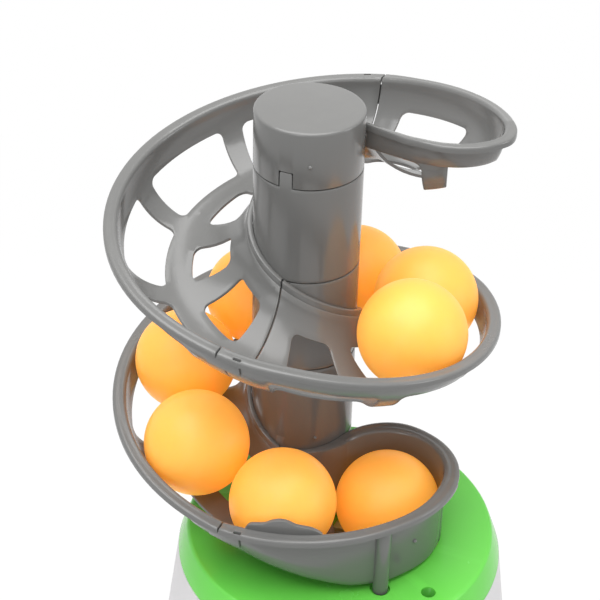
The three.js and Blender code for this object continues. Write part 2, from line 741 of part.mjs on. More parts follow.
// Bowl: the last stretch of track, which squares off into a round well over the feed rotor
function trackBowl() {
  const rimAt = () => rimAboveSeam;
  const capPlane = -stubHeight + partGap;
  const lowestFloor = capPlane + troughWall - rimAboveSeam;
  const wellRim = wellRadius + flangeWidth;
  const blendCentre = rimRadius - bowlBlendRadius;
  const between = bowlBlendRadius - wellRim;
  const cosine =
    (blendCentre ** 2 + wellDistance ** 2 - between ** 2) / (2 * blendCentre * wellDistance);
  const blendStart = wellAngle - THREE.MathUtils.radToDeg(Math.acos(cosine));
  const rimRadiusAt = (angle) => {
    const turn = radians(Math.max(0, angle - blendStart));
    const along = blendCentre * Math.cos(turn);
    return along + Math.sqrt(bowlBlendRadius ** 2 - (blendCentre * Math.sin(turn)) ** 2);
  };
  const eased = (angle, [from, to]) => THREE.MathUtils.clamp((angle - from) / (to - from), 0, 1);
  const mix = (a, b, share) => a + (b - a) * share;
  const corner = bowlCorner;
  const depth = floorDrop - rimAboveBall;
  const sectionAt = (angle) => {
    const wall = rimRadiusAt(angle) - flangeWidth;
    const [outerShare, innerShare] = [eased(angle, outerSquaring), eased(angle, innerSquaring)];
    const ridge = mix(ridgeRadius, wellDistance - wellRadius, innerShare);
    return troughSection({
      wall,
      ridge,
      floor: Math.max(lowestFloor, -floorDrop - dropPerDegree * angle),
      outerCorner: [mix(wall - trackRadius, corner, outerShare), mix(depth, corner, outerShare)],
      innerCorner: [mix(trackRadius - ridge, corner, innerShare), mix(depth, corner, innerShare)],
    });
  };
  const angles = anglesBetween(jointGapAngle / 2, wellAngle, bowlStepShare * sweepStep);
  const shell = loft(angles.map((angle) => ({ angle, points: sectionAt(angle) })), roundColumn(rimAt));
  const wellCentre = polar(wellDistance, wellAngle);
  const top = rimAboveSeam;
  const wellRing = turned([
    [wellRadius, capPlane],
    [wellRadius + troughWall, capPlane],
    [wellRadius + troughWall, top - flangeHeight],
    [wellRim, top - flangeHeight],
    [wellRim, top - flangeEdge],
    [wellRim - flangeEdge, top],
    [wellRadius, top],
    [wellRadius, capPlane],
  ], largeSides);
  const wide = 4 * wellRim;
  const farSide = block(wide, wide, -wide, wide)
    .translate(0, wide / 2 - troughWall, 0)
    .rotateZ(radians(wellAngle));
  const farHalf = common(wellRing, farSide).translate(wellCentre.x, wellCentre.y, 0);
  const wellHole = rod(wellRadius, -2 * stubHeight, stubHeight, largeSides)
    .translate(wellCentre.x, wellCentre.y, 0);
  const stub = columnPiece(capPlane, 0, null);
  const stubFloor = rod(columnBore + columnWall / 2, capPlane + partGap, capPlane + columnWall, mediumSides);
  const screwPlaces = [0, 180].map((side) => polar(columnScrewPlace, side - lastJoint));
  const stubBosses = screwPlaces.map((place) =>
    rod(columnBossRadius, capPlane + partGap, capPlane + columnBossHeight, smallSides)
      .translate(place.x, place.y, 0));
  const stubPilots = screwPlaces.map((place) =>
    rod(screwHole, -2 * stubHeight, capPlane + 3 * columnBossHeight, smallSides)
      .translate(place.x, place.y, 0));
  const skirt = tube(ridgeRadius, columnRadius - columnWall / 2, capPlane, -ridgeDrop, mediumSides);
  const skirtSector = new THREE.Shape();
  const [skirtFrom, skirtTo] = skirtSpan.map((turn) => radians(wellAngle + turn));
  skirtSector.absarc(0, 0, 2 * columnRadius, skirtFrom, skirtTo);
  skirtSector.lineTo(0, 0);
  const innerWall = common(skirt, plate(skirtSector, -2 * stubHeight, stubHeight, smallSides));
  const ribPlace = polar(trackWallRadius + troughWall, ribAngle);
  const rib = rod(ribRadius, capPlane - ribRadius / 2, top - flangeHeight / 2, smallSides)
    .translate(ribPlace.x, ribPlace.y, 0);
  const troughVoid = rod(trackWallRadius + troughWall / 2, -2 * stubHeight, stubHeight, 2 * largeSides);
  const aboveSeam = rod(columnClear, -partGap / 2, stubHeight, largeSides);
  const shellAndWell = cut(join(shell, farHalf, innerWall), wellHole, aboveSeam);
  return join(
    cut(shellAndWell, snapSlot(0, rimAt)),
    cut(join(stub, stubFloor, ...stubBosses), ...stubPilots),
    cut(rib, troughVoid),
    ballGuard(rimAt),
    ridgeWeb(0, wellAngle, rimAt, -segmentHeight, -partGap),
  );
}

// The scalloped guard that stands on the bowl's rim, in front of the last waiting ball
function ballGuard(rimAt) {
  const outline = [];
  const half = guardSpan / 2;
  for (let i = 0; i <= guardSteps; i += 1) {
    const share = -1 + (2 * i) / guardSteps;
    const height = guardLobeShares.reduce((most, [centreShare, heightShare, spreadShare]) => {
      const away = (share - centreShare) / spreadShare;
      return away * away < 1 ? Math.max(most, heightShare * Math.sqrt(1 - away * away)) : most;
    }, 0);
    outline.push(new THREE.Vector2(guardAngle + half * share, height * guardHeight));
  }
  outline.push(new THREE.Vector2(guardAngle + half, -flangeHeight / 2));
  outline.push(new THREE.Vector2(guardAngle - half, -flangeHeight / 2));
  const inner = trackWallRadius + partGap;
  const sections = [inner, inner + guardThickness].map((radius) => ({ angle: radius, points: outline }));
  return loft(sections, (point, radius) => {
    const flat = polar(radius, point.x);
    return new THREE.Vector3(flat.x, flat.y, rimAt(point.x) + point.y);
  });
}

// Ball places: nose to tail up the track from the bowl, with small gaps here and there
function touchAngle() {
  const apart = ballDiameter + queueGap;
  let angle = 0;
  for (let i = 0; i < 8; i += 1) {
    const flat = Math.sqrt(apart ** 2 - (dropPerDegree * angle) ** 2);
    angle = 2 * THREE.MathUtils.radToDeg(Math.asin(flat / (2 * trackRadius)));
  }
  return angle;
}

function ballPlaces() {
  const angles = [lastJoint + queueStart];
  for (const share of queueShares) angles.push(angles.at(-1) - share * touchAngle());
  const onTrack = angles.map((angle) => {
    const flat = polar(trackRadius, angle);
    const rim = firstSeam + rimAboveSeam - dropPerDegree * (angle - jointAngle);
    return new THREE.Vector3(flat.x, columnOffset + flat.y, rim - rimAboveBall);
  });
  const well = polar(wellDistance, lastJoint + wellAngle);
  const inWell = new THREE.Vector3(well.x, columnOffset + well.y, capTop - ballSink + ballRadius);
  return [...onTrack.reverse(), inWell];
}

const wellPlace = ballPlaces().at(-1);
const pocketDistance = Math.hypot(wellPlace.x, wellPlace.y - rotorAxisY);
const wellBearing = THREE.MathUtils.radToDeg(Math.atan2(wellPlace.y - rotorAxisY, wellPlace.x));
const outletY = rotorAxisY + pocketDistance;
const pinionPlace = polar(ringPitchRadius + pinionPitchRadius, pinionBearing)
  .add(new THREE.Vector2(0, rotorAxisY));

// Turned to lie along the body's front direction or along the wheel's axis
const forward = (geometry, height = launchHeight) => geometry.rotateX(Math.PI / 2).translate(0, 0, height);
const sideways = (geometry) => geometry.rotateY(Math.PI / 2).translate(0, wheelY, wheelHeight);

// A screw that stands on its head's underside, shank down
function screw(length, headRadius = screwHeadRadius, shankRadius = screwShankRadius) {
  return turned([
    [0, -length],
    [shankRadius, -length],
    [shankRadius, 0],
    [headRadius, 0],
    [headRadius, screwHeadHeight],
    [0, screwHeadHeight / 3],
  ], screwSides);
}

// A spur gear with straight sided teeth, one of them at the given angle
function gear(pitchRadius, teeth, firstTooth, bottom, top) {
  const pitchAngle = 360 / teeth;
  const tip = pitchRadius + toothTipShare * gearModule;
  const root = pitchRadius - toothRootShare * gearModule;
  const corners = Array.from({ length: teeth }, (_, i) => firstTooth + i * pitchAngle).flatMap((middle) => [
    polar(root, middle - toothRootWidth * pitchAngle),
    polar(tip, middle - toothTipWidth * pitchAngle),
    polar(tip, middle + toothTipWidth * pitchAngle),
    polar(root, middle + toothRootWidth * pitchAngle),
  ]);
  return plate(new THREE.Shape(corners), bottom, top);
}

function topCap() {
  const tongueOuter = capSeamRadius - shellWall - partGap;
  const tongueInner = tongueOuter - capTongueWall;
  const shell = turned([
    [0, capTop],
    [capFlatRadius, capTop],
    [capShoulderRadius, capTop - capShoulderDrop],
    [capSeamRadius, capSeam + partGap],
    [tongueOuter, capSeam + partGap],
    [tongueOuter, capSeam - capTongueHeight],
    [tongueInner, capSeam - capTongueHeight],
    [tongueInner, capTop - shellWall - capShoulderDrop],
    [capFlatRadius, capTop - shellWall],
    [0, capTop - shellWall],
  ], largeSides);
  const wellHole = wellRadius + wellClearance + partGap;
  const collarBottom = capTop - shellWall - collarHeight;
  const collar = tube(wellHole + tubeWall, wellHole, collarBottom, capTop - shellWall / 2)
    .translate(wellPlace.x, wellPlace.y, 0);
  const [screwX, screwY] = capScrewPlace;
  const boss = rod(capHoleRadius + tubeWall, capSeam + partGap, capTop - shellWall / 2, smallSides)
    .translate(screwX, screwY, 0);
  const headRoom = rod(capHoleRadius, capSeam + 2 * tubeWall, capTop + cutOverrun, smallSides)
    .translate(screwX, screwY, 0);
  const bevel = turned([
    [0, capTop - capEdge],
    [capHoleRadius, capTop - capEdge],
    [capHoleRadius + 2 * capEdge, capTop + capEdge],
    [0, capTop + capEdge],
  ], smallSides).translate(screwX, screwY, 0);
  const shank = rod(screwHole, capSeam - cutOverrun, capTop, smallSides).translate(screwX, screwY, 0);
  const well = rod(wellHole, capSeam, capTop + cutOverrun).translate(wellPlace.x, wellPlace.y, 0);
  const ribPlace = polar(trackWallRadius + troughWall, lastJoint + ribAngle);
  const ribNotch = rod(ribRadius + 2 * partGap, capTop - ribRadius / 2, capTop + cutOverrun, smallSides)
    .translate(ribPlace.x, columnOffset + ribPlace.y, 0);
  const columnHoles = [-columnScrewPlace, columnScrewPlace].map((x) =>
    rod(screwHole, capSeam, capTop + cutOverrun, smallSides).translate(x, columnOffset, 0));
  return cut(join(shell, collar, boss), well, headRoom, bevel, shank, ribNotch, ...columnHoles);
}

function mainHousing() {
  const innerFoot = baseRadius - shellWall;
  const innerTop = capSeamRadius - shellWall;
  const shell = turned([
    [innerFoot, shellFoot],
    [baseRadius, shellFoot],
    [capSeamRadius, capSeam],
    [innerTop, capSeam],
    [innerFoot, shellFoot],
  ], largeSides);
  const inside = turned([[0, 0], [innerFoot, shellFoot], [innerTop, capSeam], [0, capSeam]], largeSides);
  const boss = forward(rod(bossRadius, capSeamRadius, bossFront));
  const frameShape = roundedRectangle(
    panelWidth + 2 * panelFrame,
    panelHeight + 2 * panelFrame,
    panelCorner + panelFrame,
  );
  const frame = forward(plate(frameShape, capSeamRadius, bossFront), panelCentre);
  const ledgeOuter = shellRadiusAt(feederFloorTop) - shellWall / 2;
  const ledge = cut(
    tube(ledgeOuter, ledgeRadius, rotorBottom, rotorBottom + ledgeHeight, largeSides),
    rod(ringPitchRadius + gearRim + partGap, 0, capTop, largeSides).translate(0, rotorAxisY, 0),
    rod(pinionPitchRadius + gearRim + partGap, 0, capTop).translate(pinionPlace.x, pinionPlace.y, 0),
  );
  const bossFoot = trayTop + trayThickness + 3 * partGap;
  const screwBosses = legAngles.map((angle) => {
    const place = polar(screwPlaceRadius, angle);
    return tube(housingBossRadius, screwHole, bossFoot, bossFoot + housingBossHeight, smallSides)
      .translate(place.x, place.y, 0);
  });
  const openingShape = roundedRectangle(
    panelWidth + 2 * partGap,
    panelHeight + 2 * partGap,
    panelCorner + partGap,
  );
  const opening = forward(plate(openingShape, capSeamRadius / 2, baseRadius), panelCentre);
  const bore = forward(rod(nozzleOuterRadius + partGap, capSeamRadius / 2, baseRadius));
  return cut(join(shell, cut(join(boss, frame), inside), ledge, ...screwBosses), bore, opening);
}

function outletNozzle() {
  return forward(turned([
    [nozzleBore, nozzleBack],
    [nozzleOuterRadius, nozzleBack],
    [nozzleOuterRadius, bossFront + partGap],
    [nozzleLip, bossFront + partGap],
    [nozzleLip, bossFront + nozzleLipDepth],
    [nozzleOuterRadius + flangeEdge, bossFront + nozzleLipDepth + flangeEdge],
    [nozzleOuterRadius, nozzleFront],
    [nozzleMouthRadius, nozzleFront],
    [nozzleBore, nozzleBack],
  ], mediumSides));
}

function feederFloor() {
  const discRadius = shellRadiusAt(feederFloorBottom) - shellWall - 2 * partGap;
  const disc = rod(discRadius, feederFloorBottom, feederFloorTop, largeSides);
  const [screwX, screwY] = capScrewPlace;
  const post = rod(capPostRadius, feederFloorTop - partGap, capSeam, smallSides)
    .translate(screwX, screwY, 0);
  const pilot = rod(screwHole, capSeam - capScrewLength, capSeam + cutOverrun, smallSides)
    .translate(screwX, screwY, 0);
  const socketBottom = feederFloorBottom - socketHeight;
  const socket = rod(gearBoxRadius + partGap + tubeWall, socketBottom, feederFloorTop - partGap)
    .translate(pinionPlace.x, pinionPlace.y, 0);
  const socketBore = rod(gearBoxRadius + partGap, 0, feederFloorBottom)
    .translate(pinionPlace.x, pinionPlace.y, 0);
  const shaftHole = rod(pinionShaftRadius + boreClearance, 0, capTop, smallSides)
    .translate(pinionPlace.x, pinionPlace.y, 0);
  const bearingBottom = feederFloorBottom - bearingHeight;
  const bearing = rod(2 * rotorShaftRadius, bearingBottom, feederFloorTop - partGap, smallSides)
    .translate(0, rotorAxisY, 0);
  const outletCollar = rod(channelRadius, chuteTop + partGap, feederFloorTop - partGap)
    .translate(0, outletY, 0);
  const bearingBore = rod(rotorShaftRadius + partGap, 0, capTop, smallSides).translate(0, rotorAxisY, 0);
  const outlet = rod(boreRadius, 0, capTop).translate(0, outletY, 0);
  const whole = join(disc, post, socket, cut(outletCollar, outlet), bearing);
  return cut(whole, pilot, socketBore, shaftHole, bearingBore, outlet);
}

function dropChute() {
  const top = chuteTop;
  return turned([
    [boreRadius, collarTop + partGap],
    [channelRadius, collarTop + partGap],
    [channelRadius, top - tubeWall],
    [chuteFlange, top - tubeWall],
    [chuteFlange, top],
    [boreRadius, top],
    [boreRadius, collarTop + partGap],
  ], mediumSides).translate(0, outletY, 0);
}

function feedRotor() {
  const pockets = Array.from({ length: pocketCount }, (_, i) => {
    const place = polar(pocketDistance, wellBearing + ((i + 0.5) * 360) / pocketCount);
    return rod(pocketRadius, 0, capTop).translate(place.x, place.y, 0);
  });
  const bore = rod(rotorShaftRadius + partGap, 0, capTop, smallSides);
  return cut(rod(rotorOuterRadius, rotorBottom, rotorTop), ...pockets, bore);
}

function ringGear() {
  const toothless = pinionBearing + 180 / gearTeeth;
  const bottom = rotorBottom + gearLift;
  const bore = rod(rotorOuterRadius + partGap, 0, capTop);
  return cut(gear(ringPitchRadius, gearTeeth, toothless, bottom, gearTop), bore);
}

function feedPinion() {
  const bottom = rotorBottom + gearLift;
  const teeth = gear(pinionPitchRadius, pinionTeeth, pinionBearing + 180, bottom, gearTop);
  const shaft = rod(pinionShaftRadius, feederFloorBottom - socketHeight, gearTop - partGap, smallSides);
  return join(teeth, shaft);
}

function feedGearbox() {
  const top = feederFloorBottom - partGap;
  const body = rod(gearBoxRadius, top - gearBoxLength, top);
  const boreBottom = top - socketHeight - cutOverrun;
  return cut(body, rod(pinionShaftRadius + partGap, boreBottom, capTop, smallSides));
}

function feedMotor() {
  const top = feederFloorBottom - 2 * partGap - gearBoxLength;
  return turned([
    [0, top - feedMotorLength - rotorShaftRadius],
    [rotorShaftRadius, top - feedMotorLength - rotorShaftRadius],
    [rotorShaftRadius, top - feedMotorLength],
    [feedMotorRadius - capEdge, top - feedMotorLength],
    [feedMotorRadius, top - feedMotorLength + capEdge],
    [feedMotorRadius, top],
    [0, top],
  ], mediumSides);
}

function launchChannel(isUpper) {
  const sign = isUpper ? 1 : -1;
  const split = launchHeight + (sign * partGap) / 2;
  const far = launchHeight + sign * 3 * channelRadius;
  const halfSpace = block(4 * channelRadius, 4 * baseRadius, Math.min(split, far), Math.max(split, far));
  const pipe = forward(tube(channelRadius, boreRadius, -channelBack, channelFront));
  const endWall = forward(rod(channelRadius - tubeWall / 2, -channelBack, tubeWall - channelBack));
  const edge = split + sign * channelFlangeHeight;
  const length = channelBack + channelFlangeFront;
  const flange = cut(
    block(2 * channelFlange, length, Math.min(split, edge), Math.max(split, edge))
      .translate(0, (channelBack - channelFlangeFront) / 2, 0),
    forward(rod(channelRadius - tubeWall / 2, -baseRadius, baseRadius)),
  );
  const half = join(common(join(pipe, endWall), halfSpace), flange);
  if (!isUpper) return half;
  const collar = rod(channelRadius, split, collarTop).translate(0, outletY, 0);
  const drop = rod(boreRadius, split, collarTop + cutOverrun).translate(0, outletY, 0);
  const bore = forward(rod(boreRadius, tubeWall - channelBack, baseRadius));
  const saddleHalf = motorRadius + partGap + saddleWall;
  const saddleFrom = boreRadius - tubeWall;
  const saddleTo = motorFace + motorLength - saddleWall;
  const saddle = block(saddleTo - saddleFrom, 2 * saddleHalf, split, wheelHeight)
    .translate((saddleFrom + saddleTo) / 2, wheelY, 0);
  const motorBay = sideways(rod(motorRadius + partGap, 0, 2 * motorLength));
  const slotHalf = wheelWidth / 2 + wheelSlotGap;
  const slot = block(2 * slotHalf, 2 * (wheelRadius - wheelSlotInset), launchHeight, collarTop)
    .translate(0, wheelY, 0);
  return cut(join(half, collar, saddle), drop, bore, motorBay, slot);
}

function innerFrame() {
  const deck = rod(deckRadius, deckHeight, deckHeight + deckThickness, largeSides);
  const notch = block(deckNotchWidth, deckRadius, 0, capTop)
    .translate(0, -deckNotchDepth - deckRadius / 2, 0);
  const flangeUnder = launchHeight - partGap / 2 - channelFlangeHeight - partGap;
  const cradles = cradlePlaces.map((y) => cut(
    block(2 * channelFlange, cradleThickness, deckHeight + deckThickness / 2, flangeUnder).translate(0, y, 0),
    forward(rod(channelRadius + partGap, -baseRadius, baseRadius)),
  ));
  const foot = trayTop + partGap;
  const legs = legAngles.flatMap((angle) => {
    const leg = block(legWidth / 2, legWidth, foot, deckHeight + deckThickness / 2);
    const inner = legPlaceRadius - legWidth / 4;
    const tab = block(tabReach - inner, legWidth, foot, foot + trayThickness);
    return [
      leg.translate(legPlaceRadius, 0, 0).rotateZ(radians(angle)),
      tab.translate((tabReach + inner) / 2, 0, 0).rotateZ(radians(angle)),
    ];
  });
  const holes = legAngles.map((angle) => {
    const place = polar(screwPlaceRadius, angle);
    return rod(screwHole, 0, deckHeight / 2, smallSides).translate(place.x, place.y, 0);
  });
  return cut(join(cut(deck, notch), ...cradles, ...legs), ...holes);
}

function baseTray() {
  const disc = rod(trayRadius, trayBottom, trayTop, largeSides);
  const [boxWidth, boxLength] = [2 * (boxHalfWidth + boxWall), 2 * (boxHalfLength + boxWall)];
  const box = block(boxWidth, boxLength, trayBottom, trayTop + boxHeight);
  const cellSpace = block(2 * boxHalfWidth, 2 * boxHalfLength, 0, capTop);
  const railInner = doorHalfWidth + partGap;
  const railLength = 2 * doorHalfLength + doorTravel;
  const lipBottom = trayBottom - partGap - doorThickness - partGap - railLip;
  const rails = [-1, 1].flatMap((side) => [
    block(railWidth, railLength, lipBottom, trayTop - partGap)
      .translate(side * (railInner + railWidth / 2), doorTravel / 2, 0),
    block(railWidth + railCover, railLength, lipBottom, lipBottom + railLip)
      .translate(side * (railInner + railWidth / 2 - railCover / 2), doorTravel / 2, 0),
  ]);
  const stop = block(doorHalfWidth, boxWall, lipBottom + railLip, trayTop - partGap)
    .translate(0, -doorHalfLength - partGap - boxWall / 2, 0);
  const holes = legAngles.map((angle) => {
    const place = polar(screwPlaceRadius, angle);
    return rod(screwHole, 0, deckHeight, smallSides).translate(place.x, place.y, 0);
  });
  return cut(join(disc, box, ...rails, stop), cellSpace, ...holes);
}

function batteryDoor() {
  const top = trayBottom - partGap;
  const leaf = block(2 * doorHalfWidth, 2 * doorHalfLength, top - doorThickness, top);
  const under = top - doorThickness;
  const grips = Array.from({ length: gripCount }, (_, i) =>
    block(gripWidth, gripStand, under - gripStand, under + gripStand)
      .translate(0, -doorHalfLength + gripInset + i * gripPitch, 0));
  return join(leaf, ...grips);
}

function batteryCell() {
  const end = cellLength / 2;
  return turned([
    [0, -end],
    [cellRadius, -end],
    [cellRadius, end - cellButton],
    [cellButtonRadius, end - cellButton],
    [cellButtonRadius, end],
    [0, end],
  ], mediumSides).rotateX(-Math.PI / 2);
}

// A contact strip of the cell box: a coil spring for a cell's flat end, a button plate for the other
function contactStrip(places) {
  const face = cellLength / 2 + contactGap;
  const xs = places.map(([x]) => x);
  const [from, to] = [Math.min(...xs) - contactWidth / 2, Math.max(...xs) + contactWidth / 2];
  const strip = block(to - from, contactThickness, -contactWidth / 2, contactWidth / 2)
    .translate((from + to) / 2, face + contactThickness / 2, 0);
  const ends = places.map(([x, isSpring]) => {
    const reach = contactGap - partGap;
    const foot = reach + contactThickness / 2;
    const base = isSpring ? springRadius : contactPlateShare * springRadius;
    const tip = isSpring ? springTipShare * springRadius : base;
    return turned([[0, 0], [tip, 0], [base, reach], [base, foot], [0, foot]], smallSides)
      .rotateX(-Math.PI / 2)
      .translate(x, face - reach, 0);
  });
  return join(strip, ...ends);
}

function rubberFoot() {
  const top = trayBottom - partGap;
  return turned([[0, 0], [footRadius - capEdge, 0], [footRadius, top], [0, top]], smallSides);
}

function controlPanel() {
  const face = roundedRectangle(panelWidth, panelHeight, panelCorner);
  const outer = plate(face, panelFront - panelDepth, panelFront);
  const hollow = plate(
    roundedRectangle(panelWidth - 2 * panelFace, panelHeight - 2 * panelFace, panelCorner / 2),
    0,
    panelFront - panelFace,
  );
  const boardFront = boardDepth + boardThickness;
  const posts = [-boardPostX, boardPostX].flatMap((x) => [
    rod(boardPostRadius, boardFront + partGap, panelFront - panelFace / 2, smallSides).translate(x, 0, 0),
    rod(boardPinRadius, boardDepth - boardPinRadius, boardFront + cutOverrun, smallSides).translate(x, 0, 0),
  ]);
  const knobHole = rod(knobShaftRadius + partGap, 0, baseRadius + cutOverrun, smallSides)
    .translate(knobX, 0, 0);
  const slot = block(sliderStem + sliderTravel + 2 * partGap, sliderStem + 2 * partGap, 0, baseRadius)
    .translate(switchX + sliderTravel / 2, 0, 0);
  return forward(cut(join(cut(outer, hollow), ...posts), knobHole, slot), panelCentre);
}

function speedKnob() {
  const back = panelFront + partGap;
  const body = turned([
    [0, back],
    [knobRadius, back],
    [knobRadius, back + knobLength - capEdge],
    [knobRadius - capEdge, back + knobLength],
    [0, back + knobLength],
  ], mediumSides);
  const pointer = block(pointerWidth, knobRadius, back + cutOverrun, back + knobLength + pointerWidth / 2)
    .translate(0, knobRadius / 2, 0);
  return join(body, pointer, rod(knobShaftRadius, knobReach, back + cutOverrun, smallSides));
}

function speedControl() {
  const back = boardDepth + boardThickness + partGap;
  return cut(
    rod(potRadius, back, back + potLength),
    rod(knobShaftRadius + partGap, knobReach - partGap, panelFront, smallSides),
  );
}

function powerSlider() {
  const front = panelFront + partGap;
  const cap = block(sliderWidth, sliderHeight, front, front + sliderStand);
  const stemFoot = boardDepth + boardThickness + switchLength / 2;
  return join(cap, block(sliderStem, sliderStem, stemFoot, front + cutOverrun));
}

function switchBody() {
  const back = boardDepth + boardThickness + partGap;
  const body = block(switchWidth, switchHeight, back, back + switchLength);
  const slotLength = sliderTravel + sliderStem + 2 * partGap;
  const slot = block(slotLength, sliderStem + 2 * partGap, back + switchLength / 3, panelFront);
  return cut(body, slot);
}

function circuitBoard() {
  const outline = roundedRectangle(boardWidth, boardHeight, boardCorner);
  const board = plate(outline, boardDepth, boardDepth + boardThickness);
  const holes = [-boardPostX, boardPostX].map((x) =>
    rod(boardPinRadius + partGap, 0, panelFront, smallSides).translate(x, 0, 0));
  return cut(board, ...holes);
}

function throwHub() {
  const half = wheelWidth / 2;
  const bore = motorShaftRadius + partGap;
  const rim = hubRadius - hubRimWall;
  return sideways(turned([
    [bore, -half],
    [hubBossRadius, -half],
    [rim, -hubWeb / 2],
    [rim, -half],
    [hubRadius, -half],
    [hubRadius, half],
    [rim, half],
    [rim, hubWeb / 2],
    [hubBossRadius, half],
    [bore, half],
    [bore, -half],
  ], mediumSides));
}

function throwMotor() {
  const back = motorFace + motorLength;
  const can = turned([
    [0, motorFace],
    [motorRadius, motorFace],
    [motorRadius, back - capEdge],
    [motorRadius - capEdge, back],
    [0, back],
  ], mediumSides);
  const neck = rod(hubBossRadius, motorFace - hubWeb / 2, motorFace + cutOverrun, smallSides);
  const shaftEnd = motorShaftLength - wheelWidth / 2;
  const bore = rod(motorShaftRadius + partGap, 0, shaftEnd + partGap, smallSides);
  return sideways(cut(join(can, neck), bore));
}

const robot = new THREE.Group();
const track = new THREE.Group();
track.position.set(0, columnOffset, 0);
const feeder = new THREE.Group();
feeder.position.set(0, rotorAxisY, 0);
robot.add(track, feeder);

function add(name, geometry, material, parent = robot) {
  const tidy = geometryOf(solidOf(geometry).simplify(shortestEdge));
  const mesh = new THREE.Mesh(tidy, material);
  mesh.name = name;
  parent.add(mesh);
  return mesh;
}

function buildTrack() {
  const scoop = add("top_scoop", topScoop(), greyPlastic, track);
  scoop.position.z = firstSeam;
  scoop.rotation.z = radians(jointAngle);
  const halfTurn = trackSegment();
  for (let i = 0; i < 3; i += 1) {
    const segment = add(`track_segment_${i + 1}`, halfTurn.clone(), greyPlastic, track);
    segment.position.z = firstSeam - i * segmentHeight;
    segment.rotation.z = radians(jointAngle + 180 * i);
  }
  const bowl = add("track_bowl", trackBowl(), greyPlastic, track);
  bowl.position.z = lastSeam;
  bowl.rotation.z = radians(lastJoint);
  ballPlaces().forEach((place, i) => {
    add(`ball_${i + 1}`, new THREE.IcosahedronGeometry(ballRadius, 2), ballPlastic).position.copy(place);
  });
}

function buildBody() {
  add("top_cap", topCap(), greenPlastic);
  add("main_housing", mainHousing(), whitePlastic);
  add("outlet_nozzle", outletNozzle(), greenPlastic);
  add("base_tray", baseTray(), blackPlastic);
  add("inner_frame", innerFrame(), blackPlastic);
  [45, 135, 225, 315].forEach((angle, i) => {
    const place = polar(footPlaceRadius, angle);
    add(`rubber_foot_${i + 1}`, rubberFoot(), rubber).position.set(place.x, place.y, 0);
  });
}

function buildFeeder() {
  add("feeder_floor", feederFloor(), blackPlastic);
  add("drop_chute", dropChute(), blackPlastic);
  add("feed_rotor", feedRotor(), whitePlastic, feeder);
  add("feed_ring_gear", ringGear(), whitePlastic, feeder);
  const shaftBottom = feederFloorBottom - bearingHeight;
  add("rotor_shaft", rod(rotorShaftRadius, shaftBottom, rotorTop - partGap, smallSides), steel, feeder);
  const drive = new THREE.Group();
  drive.position.set(pinionPlace.x, pinionPlace.y, 0);
  robot.add(drive);
  add("feed_pinion", feedPinion(), brass, drive);
  add("feed_gearbox", feedGearbox(), blackPlastic, drive);
  add("feed_motor", feedMotor(), steel, drive);
}

function buildLauncher() {
  add("channel_lower", launchChannel(false), blackPlastic);
  add("channel_upper", launchChannel(true), blackPlastic);
  add("throw_wheel_hub", throwHub(), whitePlastic);
  const half = wheelWidth / 2;
  add("throw_wheel_tyre", sideways(tube(wheelRadius, hubRadius + partGap, -half, half)), rubber);
  const shaft = rod(motorShaftRadius, -half - cutOverrun, motorShaftLength - half - cutOverrun, smallSides);
  add("motor_shaft", sideways(shaft), steel);
  add("throw_motor", throwMotor(), steel);
}

function buildControls() {
  add("control_panel", controlPanel(), blackPlastic);
  add("circuit_board", forward(circuitBoard(), panelCentre), boardGreen);
  add("speed_control", forward(speedControl(), panelCentre), steel).position.x = knobX;
  add("speed_knob", forward(speedKnob(), panelCentre), greenPlastic).position.x = knobX;
  const switchMiddle = switchX + sliderTravel / 2;
  add("switch_body", forward(switchBody(), panelCentre), blackPlastic).position.x = switchMiddle;
  add("power_slider", forward(powerSlider(), panelCentre), greenPlastic).position.x = switchX;
}

function buildPower() {
  add("battery_door", batteryDoor(), blackPlastic);
  const places = Array.from({ length: cellCount }, (_, i) => (i - (cellCount - 1) / 2) * cellPitch);
  places.forEach((x, i) => {
    const cell = add(`battery_cell_${i + 1}`, batteryCell(), cellJacket);
    cell.position.set(x, 0, cellHeight);
    cell.rotation.z = i % 2 === 0 ? 0 : Math.PI;
  });
  // The strips tie the cells in a row: each spring takes a flat end, each plate a button
  const [first, second, third, fourth] = places;
  const strips = [
    [[[-first, true]], Math.PI],
    [[[first, false], [second, true]], 0],
    [[[-second, false], [-third, true]], Math.PI],
    [[[third, false], [fourth, true]], 0],
    [[[-fourth, false]], Math.PI],
  ];
  strips.forEach(([ends, turn], i) => {
    const strip = add(`battery_contact_${i + 1}`, contactStrip(ends), brass);
    strip.position.z = cellHeight;
    strip.rotation.z = turn;
  });
}

function buildScrews() {
  const [capScrewX, capScrewY] = capScrewPlace;
  const seat = capSeam + 2 * tubeWall + partGap;
  add("cap_screw", screw(capScrewLength, capScrewHead), steel).position.set(capScrewX, capScrewY, seat);
  [-columnScrewPlace, columnScrewPlace].forEach((x, i) => {
    const fastener = add(`column_screw_${i + 1}`, screw(columnScrewLength).rotateX(Math.PI), steel);
    fastener.position.set(x, columnOffset, capTop - shellWall - partGap);
  });
  legAngles.forEach((angle, i) => {
    const place = polar(screwPlaceRadius, angle);
    const fastener = add(`base_screw_${i + 1}`, screw(housingBossHeight).rotateX(Math.PI), steel);
    fastener.position.set(place.x, place.y, trayBottom - partGap);
  });
}

buildTrack();
buildBody();
buildFeeder();
buildLauncher();
buildControls();
buildPower();
buildScrews();

export default robot;
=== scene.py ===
import json
import math

import bpy
from mathutils import Matrix, Vector

